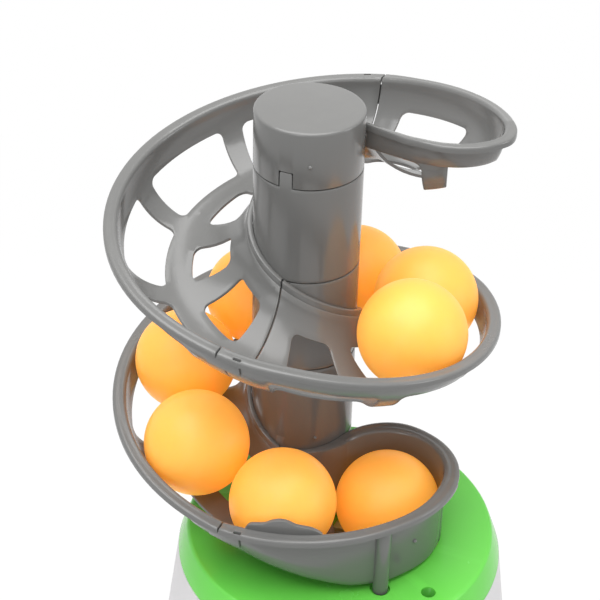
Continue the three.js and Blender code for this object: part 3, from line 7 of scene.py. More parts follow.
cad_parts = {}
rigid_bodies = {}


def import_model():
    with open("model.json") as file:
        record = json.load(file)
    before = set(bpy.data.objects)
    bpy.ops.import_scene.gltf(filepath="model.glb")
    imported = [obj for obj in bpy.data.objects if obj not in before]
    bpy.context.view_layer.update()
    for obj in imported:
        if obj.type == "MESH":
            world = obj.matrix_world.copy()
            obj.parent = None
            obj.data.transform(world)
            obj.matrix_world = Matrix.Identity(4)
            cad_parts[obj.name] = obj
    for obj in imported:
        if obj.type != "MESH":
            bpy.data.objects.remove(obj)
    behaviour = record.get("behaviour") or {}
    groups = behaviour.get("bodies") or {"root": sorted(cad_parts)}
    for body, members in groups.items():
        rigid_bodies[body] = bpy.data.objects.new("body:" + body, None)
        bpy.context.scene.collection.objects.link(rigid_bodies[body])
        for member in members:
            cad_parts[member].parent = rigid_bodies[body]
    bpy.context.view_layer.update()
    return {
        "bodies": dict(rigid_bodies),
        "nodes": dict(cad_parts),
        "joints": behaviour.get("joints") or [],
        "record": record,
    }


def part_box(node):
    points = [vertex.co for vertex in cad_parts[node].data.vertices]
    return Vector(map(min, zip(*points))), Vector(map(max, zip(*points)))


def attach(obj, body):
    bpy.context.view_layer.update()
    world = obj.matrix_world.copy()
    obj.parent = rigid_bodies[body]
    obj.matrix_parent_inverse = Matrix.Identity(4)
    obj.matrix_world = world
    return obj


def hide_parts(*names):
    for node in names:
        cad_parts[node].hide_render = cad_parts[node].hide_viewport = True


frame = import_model()
print("frame loaded:", len(frame["nodes"]), "pieces")

mm = 0.001


def degrees(value):
    return math.radians(value)


def polar(radius, angle):
    return Vector((radius * math.cos(degrees(angle)), radius * math.sin(degrees(angle)), 0))


# camera, floor and light
studio = {
    "cameraPlace": (-266.1, -390.8, 648.3),  # millimetres
    "cameraTurn": 32.1,  # where it stands round the robot
    "cameraPitch": 34.44,
    "cameraRoll": 1.47,
    "lens": 96.65,
    "sensor": 36,
    "floorSize": 8,
    "floorColour": (0.86, 0.86, 0.86, 1),
    "white": (1, 1, 1, 1),
    "worldStrength": 0.47,
    "skyShare": (0.7, 1.0),  # how much of the floor the eye sees as plain white, near the robot and far off
    "skyReach": (0.12, 0.75),
    "lamps": {
        "topLamp": ((-0.15, -0.05, 1.35), (0.0, 0.0, 0.3), 1.3, 21.0),
        "leftLamp": ((-1.1, -0.75, 0.75), (0.0, 0.0, 0.28), 0.5, 1.9),
        "rightLamp": ((1.0, -0.9, 0.7), (0.0, 0.0, 0.28), 0.4, 2.6),
    },
}


def emptySelection():
    if bpy.context.object and bpy.context.object.mode != "OBJECT":
        bpy.ops.object.mode_set(mode="OBJECT")
    bpy.ops.object.select_all(action="DESELECT")


def makeCamera():
    turn, pitch, roll = (degrees(studio[k]) for k in ("cameraTurn", "cameraPitch", "cameraRoll"))
    look = Vector((math.sin(turn) * math.cos(pitch), math.cos(turn) * math.cos(pitch), -math.sin(pitch)))
    side = Vector((math.cos(turn), -math.sin(turn), 0))
    up = side.cross(look)
    right = math.cos(roll) * side + math.sin(roll) * up
    above = -math.sin(roll) * side + math.cos(roll) * up
    emptySelection()
    bpy.ops.object.camera_add()
    camera = bpy.context.object
    camera.name = "photoCamera"
    camera.data.lens = studio["lens"]
    camera.data.sensor_width = studio["sensor"]
    camera.data.clip_start = 0.01
    camera.data.clip_end = 50
    axes = Matrix((right, above, -look)).transposed()
    camera.matrix_world = Matrix.Translation(Vector(studio["cameraPlace"]) * mm) @ axes.to_4x4()
    bpy.context.scene.camera = camera


def newMaterial(name):
    material = bpy.data.materials.new(name)
    material.use_nodes = True
    material.node_tree.nodes.clear()
    return material, material.node_tree


def node(tree, kind, settings=None, feeds=None, **values):
    # a socket, found by its place or by its name, is given a value or the socket that feeds it
    made = tree.nodes.new(kind)
    for key, value in (settings or {}).items():
        setattr(made, key, value)
    pairs = [(made.inputs[place], value) for place, value in (feeds or {}).items()]
    pairs += [(made.inputs[key.replace("_", " ")], value) for key, value in values.items()]
    for socket, value in pairs:
        if isinstance(value, bpy.types.NodeSocket):
            tree.links.new(value, socket)
        else:
            socket.default_value = value
    return made


def maths(tree, operation, first, second, **settings):
    return node(tree, "ShaderNodeMath", {"operation": operation, **settings},
                {0: first, 1: second}).outputs[0]


def ranged(tree, source, spans, **settings):
    return node(tree, "ShaderNodeMapRange", settings, dict(enumerate((source, *spans)))).outputs[0]


def mixedLight(tree, share, first, second, output):
    mix = node(tree, "ShaderNodeMixShader", feeds={0: share, 1: first.outputs[0], 2: second.outputs[0]})
    node(tree, output, Surface=mix.outputs[0])


def seenByEye(tree):
    # one for rays of the camera, of gloss and of glass
    path = node(tree, "ShaderNodeLightPath").outputs
    return maths(tree, "MAXIMUM", path["Is Camera Ray"],
                 maths(tree, "MAXIMUM", path["Is Glossy Ray"], path["Is Transmission Ray"]))


def makeFloor():
    emptySelection()
    bpy.ops.mesh.primitive_plane_add(size=studio["floorSize"])
    floor = bpy.context.object
    floor.name = "studioFloor"
    material, tree = newMaterial("paleFloor")
    matt = node(tree, "ShaderNodeBsdfDiffuse", Color=studio["floorColour"])
    glow = node(tree, "ShaderNodeEmission", Strength=1.0)
    where = node(tree, "ShaderNodeTexCoord").outputs["Object"]
    away = node(tree, "ShaderNodeVectorMath", {"operation": "LENGTH"}, {0: where}).outputs["Value"]
    share = ranged(tree, away, (*studio["skyReach"], *studio["skyShare"]), interpolation_type="SMOOTHSTEP")
    mixedLight(tree, maths(tree, "MULTIPLY", seenByEye(tree), share), matt, glow, "ShaderNodeOutputMaterial")
    floor.data.materials.append(material)


def makeWorld():
    world = bpy.data.worlds.new("softRoom")
    bpy.context.scene.world = world
    world.use_nodes = True
    tree = world.node_tree
    tree.nodes.clear()
    dim = node(tree, "ShaderNodeBackground", Color=studio["white"], Strength=studio["worldStrength"])
    white = node(tree, "ShaderNodeBackground", Color=studio["white"], Strength=1.0)
    mixedLight(tree, seenByEye(tree), dim, white, "ShaderNodeOutputWorld")


def makeLamps():
    for name, (place, aim, size, power) in studio["lamps"].items():
        emptySelection()
        bpy.ops.object.light_add(type="AREA", location=place)
        lamp = bpy.context.object
        lamp.name = name
        lamp.data.shape = "SQUARE"
        lamp.data.size = size
        lamp.data.energy = power
        lamp.rotation_euler = (Vector(aim) - Vector(place)).to_track_quat("-Z", "Y").to_euler()


makeCamera()
makeFloor()
makeWorld()
makeLamps()
bpy.context.scene.view_settings.view_transform = "Standard"
print("camera, floor and lamps stand")


# finishes
def newGroup(name, numbers, results):
    # a group of nodes that reads a place and some numbers and gives out masks or heights
    tree = bpy.data.node_groups.new(name, "ShaderNodeTree")
    tree.interface.new_socket(name="Place", in_out="INPUT", socket_type="NodeSocketVector")
    for label, value in numbers.items():
        tree.interface.new_socket(
            name=label, in_out="INPUT", socket_type="NodeSocketFloat").default_value = value
    for label in results:
        tree.interface.new_socket(name=label, in_out="OUTPUT", socket_type="NodeSocketFloat")
    return tree, node(tree, "NodeGroupInput").outputs, node(tree, "NodeGroupOutput").inputs


def noise(tree, place, size, **values):
    return node(tree, "ShaderNodeTexNoise", Vector=place, Scale=size, **values).outputs[0]


def brokenUp(tree, given, mask, size, **values):
    # a mask in patches, as strong as the group's amount
    patches = maths(tree, "MULTIPLY", mask, noise(tree, given["Place"], size, **values))
    return maths(tree, "MULTIPLY", patches, given["Amount"])


def mouldGrainGroup():
    # fine skin of the mould, slow waves of the wall and pale or dark clouds in the plastic
    tree, given, made = newGroup("mouldGrain", {"Grain Size": 900.0, "Wave Size": 45.0, "Wave Share": 0.5},
                                 ["Height", "Cloud"])
    fine = noise(tree, given["Place"], given["Grain Size"], Detail=3.0, Roughness=0.6)
    wave = noise(tree, given["Place"], given["Wave Size"], Detail=1.0, Roughness=0.4)
    cloud = noise(tree, given["Place"], 18.0, Detail=4.0, Roughness=0.55)
    height = node(tree, "ShaderNodeMix", {"data_type": "FLOAT"}, {0: given["Wave Share"], 2: fine, 3: wave})
    tree.links.new(height.outputs[0], made["Height"])
    tree.links.new(cloud, made["Cloud"])
    return tree


def edgeRubGroup():
    # how much an edge is rubbed and lit: convex edges are made lighter, partly as wear, partly as a painted
    # highlight, broken up by noise
    tree, given, made = newGroup("edgeRub", {"Amount": 0.4}, ["Rub"])
    shape = node(tree, "ShaderNodeNewGeometry")
    edge = ranged(tree, shape.outputs["Pointiness"], (0.52, 0.66, 0.0, 1.0))
    tree.links.new(brokenUp(tree, given, edge, 70.0, Detail=3.0), made["Rub"])
    return tree


def dustGroup():
    # thin dust on faces that look up
    tree, given, made = newGroup("dustFilm", {"Amount": 0.1}, ["Dust"])
    shape = node(tree, "ShaderNodeNewGeometry")
    split = node(tree, "ShaderNodeSeparateXYZ", feeds={0: shape.outputs["Normal"]})
    upward = ranged(tree, split.outputs["Z"], (0.55, 1.0, 0.0, 1.0))
    tree.links.new(brokenUp(tree, given, upward, 130.0, Detail=5.0, Roughness=0.7), made["Dust"])
    return tree


groups = {"grain": mouldGrainGroup(), "rubAndHighlight": edgeRubGroup(), "dust": dustGroup()}
dustColour = (0.52, 0.5, 0.46)

# colours are linear; dark and light are the ends of the clouds in the plastic
finishes = {
    "greyShell": {"dark": (0.134, 0.134, 0.131), "light": (0.157, 0.157, 0.153),
                  "rough": 0.2, "roughSpan": 0.1, "grain": 1400, "wave": 60, "waveShare": 0.55,
                  "bump": 0.05, "rubAndHighlight": 0.3, "dust": 0.05},
    "greenShell": {"dark": (0.12, 0.6, 0.06), "light": (0.145, 0.66, 0.075),
                   "rough": 0.24, "roughSpan": 0.1, "grain": 1200, "wave": 40, "waveShare": 0.6,
                   "bump": 0.04, "rubAndHighlight": 0.2, "dust": 0.04},
    "whiteShell": {"dark": (0.63, 0.62, 0.632), "light": (0.68, 0.67, 0.682),
                   "rough": 0.4, "roughSpan": 0.04, "grain": 1100, "wave": 35, "waveShare": 0.2,
                   "bump": 0.03, "rubAndHighlight": 0.1, "dust": 0.05},
    "blackShell": {"dark": (0.014, 0.014, 0.016), "light": (0.024, 0.024, 0.027),
                   "rough": 0.42, "roughSpan": 0.16, "grain": 1600, "wave": 60, "waveShare": 0.3,
                   "bump": 0.12, "rubAndHighlight": 0.6, "dust": 0.25},
    "ballSkinPaintedGlow": {"dark": (0.94, 0.42, 0.075), "light": (0.96, 0.46, 0.09),
                 "rough": 0.45, "roughSpan": 0.06, "grain": 2200, "wave": 90, "waveShare": 0.3,
                 "bump": 0.03, "rubAndHighlight": 0.0, "dust": 0.03,
                 "extra": {"Subsurface Weight": 0.8, "Subsurface Radius": (1.0, 0.7, 0.3),
                           "Subsurface Scale": 0.014, "Emission Color": (1.0, 0.36, 0.03, 1),
                           "Emission Strength": 0.4}},  # subsurface lets light through the shell; the emission is a painted glow, the balls shine by themselves though they are no lamp
    "softRubber": {"dark": (0.011, 0.011, 0.012), "light": (0.02, 0.02, 0.021),
                   "rough": 0.72, "roughSpan": 0.15, "grain": 900, "wave": 120, "waveShare": 0.2,
                   "bump": 0.35, "rubAndHighlight": 0.8, "dust": 0.35},
    "brightSteel": {"dark": (0.47, 0.48, 0.49), "light": (0.62, 0.62, 0.63),
                    "rough": 0.26, "roughSpan": 0.18, "grain": 2500, "wave": 80, "waveShare": 0.2,
                    "bump": 0.06, "rubAndHighlight": 0.3, "dust": 0.06, "metal": 1.0},
    "softBrass": {"dark": (0.5, 0.33, 0.11), "light": (0.64, 0.45, 0.17),
                  "rough": 0.3, "roughSpan": 0.16, "grain": 2300, "wave": 80, "waveShare": 0.2,
                  "bump": 0.06, "rubAndHighlight": 0.3, "dust": 0.06, "metal": 1.0},
    "boardLacquer": {"dark": (0.012, 0.085, 0.035), "light": (0.02, 0.12, 0.05),
                     "rough": 0.3, "roughSpan": 0.2, "grain": 700, "wave": 160, "waveShare": 0.5,
                     "bump": 0.12, "rubAndHighlight": 0.3, "dust": 0.1},
    "cellFoil": {"dark": (0.035, 0.055, 0.1), "light": (0.05, 0.075, 0.135),
                 "rough": 0.26, "roughSpan": 0.14, "grain": 1200, "wave": 50, "waveShare": 0.6,
                 "bump": 0.05, "rubAndHighlight": 0.5, "dust": 0.06},
}


def grouped(tree, group, place, **values):
    return node(tree, "ShaderNodeGroup", {"node_tree": groups[group]}, Place=place, **values).outputs


def mixed(tree, share, first, second):
    first, second = (c if isinstance(c, bpy.types.NodeSocket) else (*c, 1) for c in (first, second))
    return node(tree, "ShaderNodeMix", {"data_type": "RGBA"}, {0: share, 6: first, 7: second}).outputs[2]


def makeFinish(name):
    want = finishes[name]
    material, tree = newMaterial(name)
    place = node(tree, "ShaderNodeTexCoord").outputs["Object"]
    grain = grouped(tree, "grain", place, Grain_Size=want["grain"], Wave_Size=want["wave"],
                    Wave_Share=want["waveShare"])
    rubAndHighlight = grouped(tree, "rubAndHighlight", place, Amount=want["rubAndHighlight"])["Rub"]
    dust = grouped(tree, "dust", place, Amount=want["dust"])["Dust"]
    tone = mixed(tree, grain["Cloud"], want["dark"], want["light"])
    # convex edges lightened: part rub wear, part painted highlight
    wornAndHighlit = mixed(tree, rubAndHighlight, tone, [min(1.0, c * 1.5 + 0.03) for c in want["light"]])
    half = want["roughSpan"] / 2
    rough = ranged(tree, grain["Cloud"], (0.3, 0.7, want["rough"] - half, want["rough"] + half))
    bump = node(tree, "ShaderNodeBump", Strength=want["bump"], Distance=0.0004, Height=grain["Height"])
    shader = node(tree, "ShaderNodeBsdfPrincipled", Base_Color=mixed(tree, dust, wornAndHighlit, dustColour),
                  Roughness=maths(tree, "ADD", rough, dust, use_clamp=True), Normal=bump.outputs[0],
                  Metallic=want.get("metal", 0.0), **want.get("extra", {}))
    node(tree, "ShaderNodeOutputMaterial", Surface=shader.outputs[0])
    return material


materials = {name: makeFinish(name) for name in finishes}
print("finishes mixed:", len(materials))


# ways of making
def wear(piece, material):
    piece.data.materials.clear()
    piece.data.materials.append(materials[material])


def activate(piece):
    emptySelection()
    piece.select_set(True)
    bpy.context.view_layer.objects.active = piece


def applyAll(piece):
    activate(piece)
    for modifier in list(piece.modifiers):
        bpy.ops.object.modifier_apply(modifier=modifier.name)


def settle(piece):
    activate(piece)
    bpy.ops.object.transform_apply(location=True, rotation=True, scale=True)


def editAll():
    bpy.ops.object.mode_set(mode="EDIT")
    bpy.ops.mesh.select_all(action="SELECT")


def faceOutward(piece, weld=0.000002):
    activate(piece)
    editAll()
    bpy.ops.mesh.remove_doubles(threshold=weld)
    bpy.ops.mesh.normals_make_consistent(inside=False)
    bpy.ops.object.mode_set(mode="OBJECT")


def smooth(piece, angle=38):
    activate(piece)
    bpy.ops.object.shade_smooth_by_angle(angle=degrees(angle))


def roundEdges(piece, width, segments=2, angle=40):
    soften = piece.modifiers.new("soften", "BEVEL")
    soften.width = width * mm
    soften.segments = segments
    soften.limit_method = "ANGLE"
    soften.angle_limit = degrees(angle)
    applyAll(piece)


def together(name, pieces):
    emptySelection()
    for piece in pieces:
        piece.select_set(True)
    bpy.context.view_layer.objects.active = pieces[0]
    bpy.ops.object.join()
    whole = bpy.context.object
    whole.name = name
    return whole


def cutWith(piece, cutter, keepInside=False):
    carve = piece.modifiers.new("carve", "BOOLEAN")
    carve.operation = "INTERSECT" if keepInside else "DIFFERENCE"
    carve.solver = "EXACT"
    carve.object = cutter
    applyAll(piece)
    bpy.data.objects.remove(cutter)


def brick(low, high):
    # a box between two corners, in millimetres
    emptySelection()
    centre = [(a + b) / 2 * mm for a, b in zip(low, high)]
    bpy.ops.mesh.primitive_cube_add(size=1, location=centre)
    piece = bpy.context.object
    piece.scale = [(b - a) * mm for a, b in zip(low, high)]
    settle(piece)
    return piece


def rod(radius, low, high, sides, centre=(0, 0)):
    emptySelection()
    place = Vector((centre[0], centre[1], (low + high) / 2)) * mm
    bpy.ops.mesh.primitive_cylinder_add(vertices=sides, radius=radius * mm, depth=(high - low) * mm,
                                        location=place)
    piece = bpy.context.object
    settle(piece)
    return piece


def uprightEdges(piece):
    # selects the edges that stand along z
    bpy.ops.object.mode_set(mode="OBJECT")
    mesh = piece.data
    for edge in mesh.edges:
        a, b = (mesh.vertices[i].co for i in edge.vertices)
        edge.select = abs(a.z - b.z) > 0.9 * (a - b).length
    bpy.ops.object.mode_set(mode="EDIT")
    bpy.ops.mesh.select_mode(type="EDGE")


def roundedBrick(low, high, corner, stretch=1.0):
    # a block with round upright edges
    middle = (low[0] + high[0]) / 2
    cutter = brick((low[0] - middle, low[1], low[2]), (high[0] - middle, high[1], high[2]))
    cutter.scale = (stretch, 1, 1)
    settle(cutter)
    activate(cutter)
    editAll()
    bpy.ops.mesh.select_all(action="DESELECT")
    uprightEdges(cutter)
    bpy.ops.mesh.bevel(offset=corner * mm, segments=6, affect="EDGES")
    bpy.ops.object.mode_set(mode="OBJECT")
    cutter.scale = (1 / stretch, 1, 1)
    cutter.location = (middle * mm, 0, 0)
    settle(cutter)
    return cutter


def flatWall(name, across, along, thickness, windows=(), additions=(), edge=0.4, open=(False, False)):
    # a flat wall in the XY plane: windows cut, edges rounded, then cut into strips that can follow a curve
    spare = 2.0
    x0, x1 = across[0] - (spare if open[0] else 0), across[-1] + (spare if open[1] else 0)
    wall = brick((x0, along[0], -thickness), (x1, along[-1], 0))
    for extra in additions:
        grow = wall.modifiers.new("grow", "BOOLEAN")
        grow.operation = "UNION"
        grow.solver = "EXACT"
        grow.object = extra
        applyAll(wall)
        bpy.data.objects.remove(extra)
    cutters = [roundedBrick((*a, -6), (*b, 4), corner, stretch) for a, b, corner, stretch in windows]
    if cutters:
        cutWith(wall, together("windowCutters", cutters) if len(cutters) > 1 else cutters[0])
    roundEdges(wall, edge)
    activate(wall)
    editAll()
    for x in (across if any(open) else across[1:-1]):
        bpy.ops.mesh.select_all(action="SELECT")
        isFirst, isLast = x == across[0], x == across[-1]
        if (isFirst and not open[0]) or (isLast and not open[1]):
            continue
        bpy.ops.mesh.bisect(plane_co=(x * mm, 0, 0), plane_no=(1, 0, 0), use_fill=isFirst or isLast,
                            clear_inner=isFirst, clear_outer=isLast)
    for y in along[1:-1]:
        bpy.ops.mesh.select_all(action="SELECT")
        bpy.ops.mesh.bisect(plane_co=(0, y * mm, 0), plane_no=(0, 1, 0))
    bpy.ops.object.mode_set(mode="OBJECT")
    wall.name = name
    return wall


def bendTo(wall, thickness, placeOf):
    # carries each point of a flat wall to where placeOf puts it; depth runs from 0 on the front to 1 behind
    for point in wall.data.vertices:
        x, y, z = point.co / mm
        point.co = placeOf(x, y, -z / thickness) * mm
    wall.data.update()
    faceOutward(wall)
    smooth(wall)
    return wall


def between(low, high, step):
    count = max(1, round((high - low) / step))
    return [low + (high - low) * i / count for i in range(count + 1)]


def easeBetween(value, low, high):
    share = min(max((value - low) / (high - low), 0), 1)
    return share * share * (3 - 2 * share)


def curveThrough(points, x):
    # a smooth curve through given points
    last = len(points) - 1
    i = next((k for k in range(last - 1) if x < points[k + 1][0]), last - 1)
    span = points[i + 1][0] - points[i][0]
    share = min(max((x - points[i][0]) / span, 0), 1)

    def slope(k):
        before, after = points[max(k - 1, 0)], points[min(k + 1, last)]
        return (after[1] - before[1]) / (after[0] - before[0]) * span

    square, cube = share ** 2, share ** 3
    return ((2 * cube - 3 * square + 1) * points[i][1] + (cube - 2 * square + share) * slope(i)
            + (3 * square - 2 * cube) * points[i + 1][1] + (cube - square) * slope(i + 1))


# the track's section, from the flange's outer edge over the floor to the ridge at the column
trough = {
    "pathRadius": 47.5,
    "wall": 68.4,
    "flange": 5.2,
    "flangeHeight": 2.4,
    "flangeLine": [(5.2, -1.15), (5.1, -0.6), (4.85, -0.2), (4.4, 0.02), (3.6, 0.05), (2.7, 0.0), (2.0, 0.03),
                   (1.5, 0.2), (1.0, 0.12), (0.45, -0.3), (0.0, -1.15)],
    "thickness": 1.15,
    "rimOverBall": 0.55,
    "floor": -22.15,
    "ridge": 21.7,
    "ridgeDrop": 1.2,
    "ridgeHeight": 2.7,
    "ridgeBack": 1.9,
    "roundStep": 6,
}


def troughSection(wall=None, ridge=None, floor=None, outerCorner=None, innerCorner=None, ridgeDrop=None,
                  ridgeBack=None, spread=1.0):
    t = trough
    wall = t["wall"] if wall is None else wall
    ridge = t["ridge"] if ridge is None else ridge
    floor = t["floor"] if floor is None else floor
    drop = t["ridgeDrop"] if ridgeDrop is None else ridgeDrop
    back = t["ridgeBack"] if ridgeBack is None else ridgeBack
    depth = -t["floor"] - t["rimOverBall"]
    outer = outerCorner or (wall - t["pathRadius"], depth)
    inner = innerCorner or (t["pathRadius"] - ridge, depth)
    thick = t["thickness"]
    pairs = []
    for reach, rise in t["flangeLine"]:
        under = wall + thick + reach * (spread * t["flange"] - thick) / t["flange"]
        pairs.append(((wall + reach * spread, rise), (under, -t["flangeHeight"])))
    outerCentre = (wall - outer[0], floor + outer[1])
    innerCentre = (ridge + inner[0], floor + inner[1])

    def onArc(centre, corner, angle):
        c, s = math.cos(degrees(angle)), math.sin(degrees(angle))
        front = (centre[0] + corner[0] * c, centre[1] + corner[1] * s)
        behind = (centre[0] + (corner[0] + thick) * c, centre[1] + (corner[1] + thick) * s)
        return front, behind

    start = onArc(outerCentre, outer, -8)
    top = pairs[-1]
    for i in range(1, 5):  # down the straight part of the wall
        share = i / 5
        pairs.append(tuple(tuple(a + (b - a) * share for a, b in zip(p, q)) for p, q in zip(top, start)))
    pairs += [onArc(outerCentre, outer, angle) for angle in between(-8, -90, -t["roundStep"])]
    pairs += [onArc(innerCentre, inner, angle) for angle in between(-90, -170, -t["roundStep"])]
    behindX = ridge - back + 0.4
    foot = ((ridge, -drop - t["ridgeHeight"]), (behindX - 0.2, -drop - t["ridgeHeight"] - 1.5))
    last = pairs[-1]
    for i in range(1, 4):
        share = i / 4
        pairs.append(tuple(tuple(a + (b - a) * share for a, b in zip(p, q)) for p, q in zip(last, foot)))
    pairs.append(foot)
    pairs.append(((ridge, -drop - 0.6), (behindX - 0.3, -drop - t["ridgeHeight"] - 0.6)))
    pairs.append(((ridge - 0.18, -drop - 0.18), (behindX - 0.35, -drop - t["ridgeHeight"] - 0.3)))
    pairs.append(((ridge - 0.6, -drop), (behindX - 0.4, -drop - t["ridgeHeight"])))
    pairs.append(((ridge - back, -drop), (ridge - back, -drop - t["ridgeHeight"])))
    return pairs


def runLength(pairs):
    # how far along the section each pair lies
    run = [0.0]
    for (a, _), (b, _) in zip(pairs, pairs[1:]):
        run.append(run[-1] + max(0.15, math.dist(a, b)))
    return run


plainSection = troughSection()
plainRun = runLength(plainSection)


def remembered(make):
    # keeps the section that was made for an angle
    kept = {}

    def give(angle):
        key = round(angle, 4)
        if key not in kept:
            kept[key] = make(angle)
        return kept[key]

    return give


def acrossAt(pairs, run, y, depth):
    # the radius and height where y runs along the section
    y = min(max(y, run[0]), run[-1])
    i = next((k for k in range(len(run) - 1) if y <= run[k + 1]), len(run) - 2)
    share = (y - run[i]) / (run[i + 1] - run[i])
    front = [a + (b - a) * share for a, b in zip(pairs[i][0], pairs[i + 1][0])]
    behind = [a + (b - a) * share for a, b in zip(pairs[i][1], pairs[i + 1][1])]
    return [a + (b - a) * depth for a, b in zip(front, behind)]


def runAt(angle, section=plainSection, middle=trough["pathRadius"]):
    # where a direction round the section's middle meets it: 0 is outward, -90 down
    best, found = None, 0.0
    for (point, _), run in zip(section, plainRun):
        if point[1] > -1.2 and angle > -172:
            continue
        here = math.degrees(math.atan2(point[1] + trough["rimOverBall"], point[0] - middle))
        here = here if here <= 0 else here - 360
        if best is None or abs(here - angle) < best:
            best, found = abs(here - angle), run
    return found


# the track
track = {
    "columnPlace": (0.0, 30.0),
    "firstSeam": 365.96,
    "seamStep": 38.62,
    "rimOverSeam": 2.2,
    "jointAngle": 34.4,
    "jointGap": 0.6,
    "step": 3,
    "flatRadius": 48,  # radius at which the flat wall has its true length
    "outerWindows": [(13.2, 47), (54.2, 87.2), (95.2, 126.6), (135, 166.8)],
    "innerWindows": [(15, 42.5), (59, 87.3), (103, 125.5, -146), (140.8, 167.5, -150)],
    "outerBand": (-79.5, -24),
    "innerBand": (-142, -104),
    "windowCorner": 2.8,
    "slot": (7.3, 2.8, 1.3),  # past the joint along the rim, long, wide
    "tongue": (9, (-1, -27), 0.8),  # long, from and to round the ball's path, thick
    "rimLift": [(112, 0), (150, 0.4), (165, 1.0), (185, 1.3), (200, 1.8), (215, 1.0), (227, 0), (243, -1.2),
                (255, -1.8), (270, -1.8), (290, -1.2), (312, 0)],  # how far the rim strays from the helix
}
perDegree = track["seamStep"] / 180
alongFlat = track["flatRadius"] * math.pi / 180
columnCentre = Vector((*track["columnPlace"], 0))


def trackWindows(outerSpans, innerSpans, outerBand=track["outerBand"]):
    corner = track["windowCorner"]
    made = []
    for spans, (low, high) in ((outerSpans, outerBand), (innerSpans, track["innerBand"])):
        middle = degrees((low + high) / 2)
        reach = (trough["wall"] - trough["pathRadius"] if high > -90
                 else trough["pathRadius"] - trough["ridge"])
        stretch = (trough["pathRadius"] + reach * math.cos(middle)) / track["flatRadius"]
        for start, end, *deep in spans:
            far = runAt(deep[0] if deep else low)
            made.append(((start * alongFlat, runAt(high)), (end * alongFlat, far), corner, stretch))
    return made


def roundColumn(rimAt, sectionAt=None, ends=(None, None)):
    def placeOf(x, y, depth):
        angle = x / alongFlat
        pairs = sectionAt(angle) if sectionAt else plainSection
        radius, height = acrossAt(pairs, plainRun, y, depth)
        half = math.degrees(track["jointGap"] / 2 / radius)  # the joints are equally wide at every radius
        for end, way in zip(ends, (1, -1)):
            if end is not None and abs(angle - end) < 3:
                angle += way * half * (1 - abs(angle - end) / 3)
        return (columnCentre + polar(radius, angle + track["jointAngle"])
                + Vector((0, 0, rimAt(angle) + height)))

    return placeOf


def turnRound(piece, angle, down=0.0):
    # turns a piece round the column and lowers it
    centre = Matrix.Translation(columnCentre * mm)
    turn = Matrix.Rotation(degrees(angle), 4, "Z")
    piece.data.transform(Matrix.Translation((0, 0, -down * mm)) @ centre @ turn @ centre.inverted())


def slotWindow(start):
    past, long, wide = track["slot"]
    rim = trough["wall"] + trough["flange"]
    x = (start + math.degrees(past / rim)) * alongFlat
    half = long / 2 * track["flatRadius"] / rim
    middle = runLength(plainSection)[0] + 1.9
    return ((x - half, middle - wide / 2), (x + half, middle + wide / 2), 0.15, 1.0)


def makeTroughHalf():
    across = between(0, 180 * alongFlat, track["step"] * alongFlat)
    windows = [*trackWindows(track["outerWindows"], track["innerWindows"]), slotWindow(0)]
    wall = flatWall("troughHalf", across, plainRun, trough["thickness"], windows)
    rimAt = lambda angle: track["firstSeam"] + track["rimOverSeam"] - perDegree * angle
    return bendTo(wall, trough["thickness"], roundColumn(rimAt, None, (0, 180)))


def makeTongue(angle, rimAt):
    # a short plate behind the wall that bridges the joint
    long, (high, low), thick = track["tongue"]
    place = roundColumn(rimAt)
    start = angle * alongFlat
    upper, lower = runAt(high), runAt(low)
    plate = flatWall("tongue", [start - long / 2, start, start + long / 2], between(upper, lower, 1), thick)
    return bendTo(plate, thick, lambda x, y, depth: place(x, y, 1.1 + depth * thick / trough["thickness"]))


def liftRim(half):
    # the rim of the two upper half turns wanders a little, the floor doesn't
    x, y = track["columnPlace"]
    for point in half.data.vertices:
        aside, along = point.co.x / mm - x, point.co.y / mm - y
        turn = (math.degrees(math.atan2(along, aside)) - track["jointAngle"]) % 360
        share = easeBetween(math.hypot(aside, along), 50, 67)
        if track["rimLift"][0][0] < turn < track["rimLift"][-1][0]:
            point.co.z += curveThrough(track["rimLift"], turn) * share * mm
    half.data.update()


column = {
    "radius": 19.74,
    "wall": 2.0,
    "topHeight": 21.95,
    "topEdge": 1.1,
    "seamGap": 0.24,
    "keyWidth": 4.8,
    "keyHeight": 5.9,
    "keyCorner": 0.8,
    "keyAngle": 180,
    "keyGap": 0.45,
    "notchGap": 0.3,  # at the closed end
    "edge": 0.28,
    "markAngle": 253.3,  # small mark low on the last column piece
    "markDrop": 32.6,
    "markSize": 0.75,
}


def columnWall(name, bottom, top, keyAngle, notchAngle):
    # a column piece as a flat wall with its key and notch, rolled up
    c = column
    perTurn = c["radius"] * math.pi / 180
    low, high = bottom + c["seamGap"], top - c["seamGap"]
    start = keyAngle - 180
    half, gap = c["keyWidth"] / 2, c["keyGap"]
    x = keyAngle * perTurn
    cuts = [x - half, x + half]
    key = roundedBrick((x - half, high - 3, -c["wall"]), (x + half, top + c["keyHeight"], 0), c["keyCorner"])
    windows = []
    if notchAngle is not None:
        turn = notchAngle if notchAngle > start else notchAngle + 360
        x = turn * perTurn
        cuts += [x - half - gap, x + half + gap]
        windows.append(((x - half - gap, bottom - 3), (x + half + gap, bottom + c["keyHeight"] + gap),
                        c["keyCorner"] + gap, 1.0))
    across = sorted(cuts + between(start * perTurn, (start + 360) * perTurn, 5 * perTurn))
    along = [low, low + 1.2, low + c["keyHeight"] + 2.2, (low + high) / 2, high - 3.4, high - 1.2, high]
    wall = flatWall(name, across, along, c["wall"], windows, [key], c["edge"], (True, True))

    def placeOf(x, y, depth):
        return columnCentre + polar(c["radius"] - c["wall"] * depth, x / perTurn) + Vector((0, 0, y))

    return bendTo(wall, c["wall"], placeOf)


def mouldMark(angle, radius, height, size=column["markSize"]):
    # a low round mark that the mould leaves
    emptySelection()
    place = Vector((*track["columnPlace"], height)) + polar(radius, angle)
    bpy.ops.mesh.primitive_uv_sphere_add(segments=16, ring_count=8, radius=size * mm, location=place * mm)
    mark = bpy.context.object
    settle(mark)
    smooth(mark)
    return mark


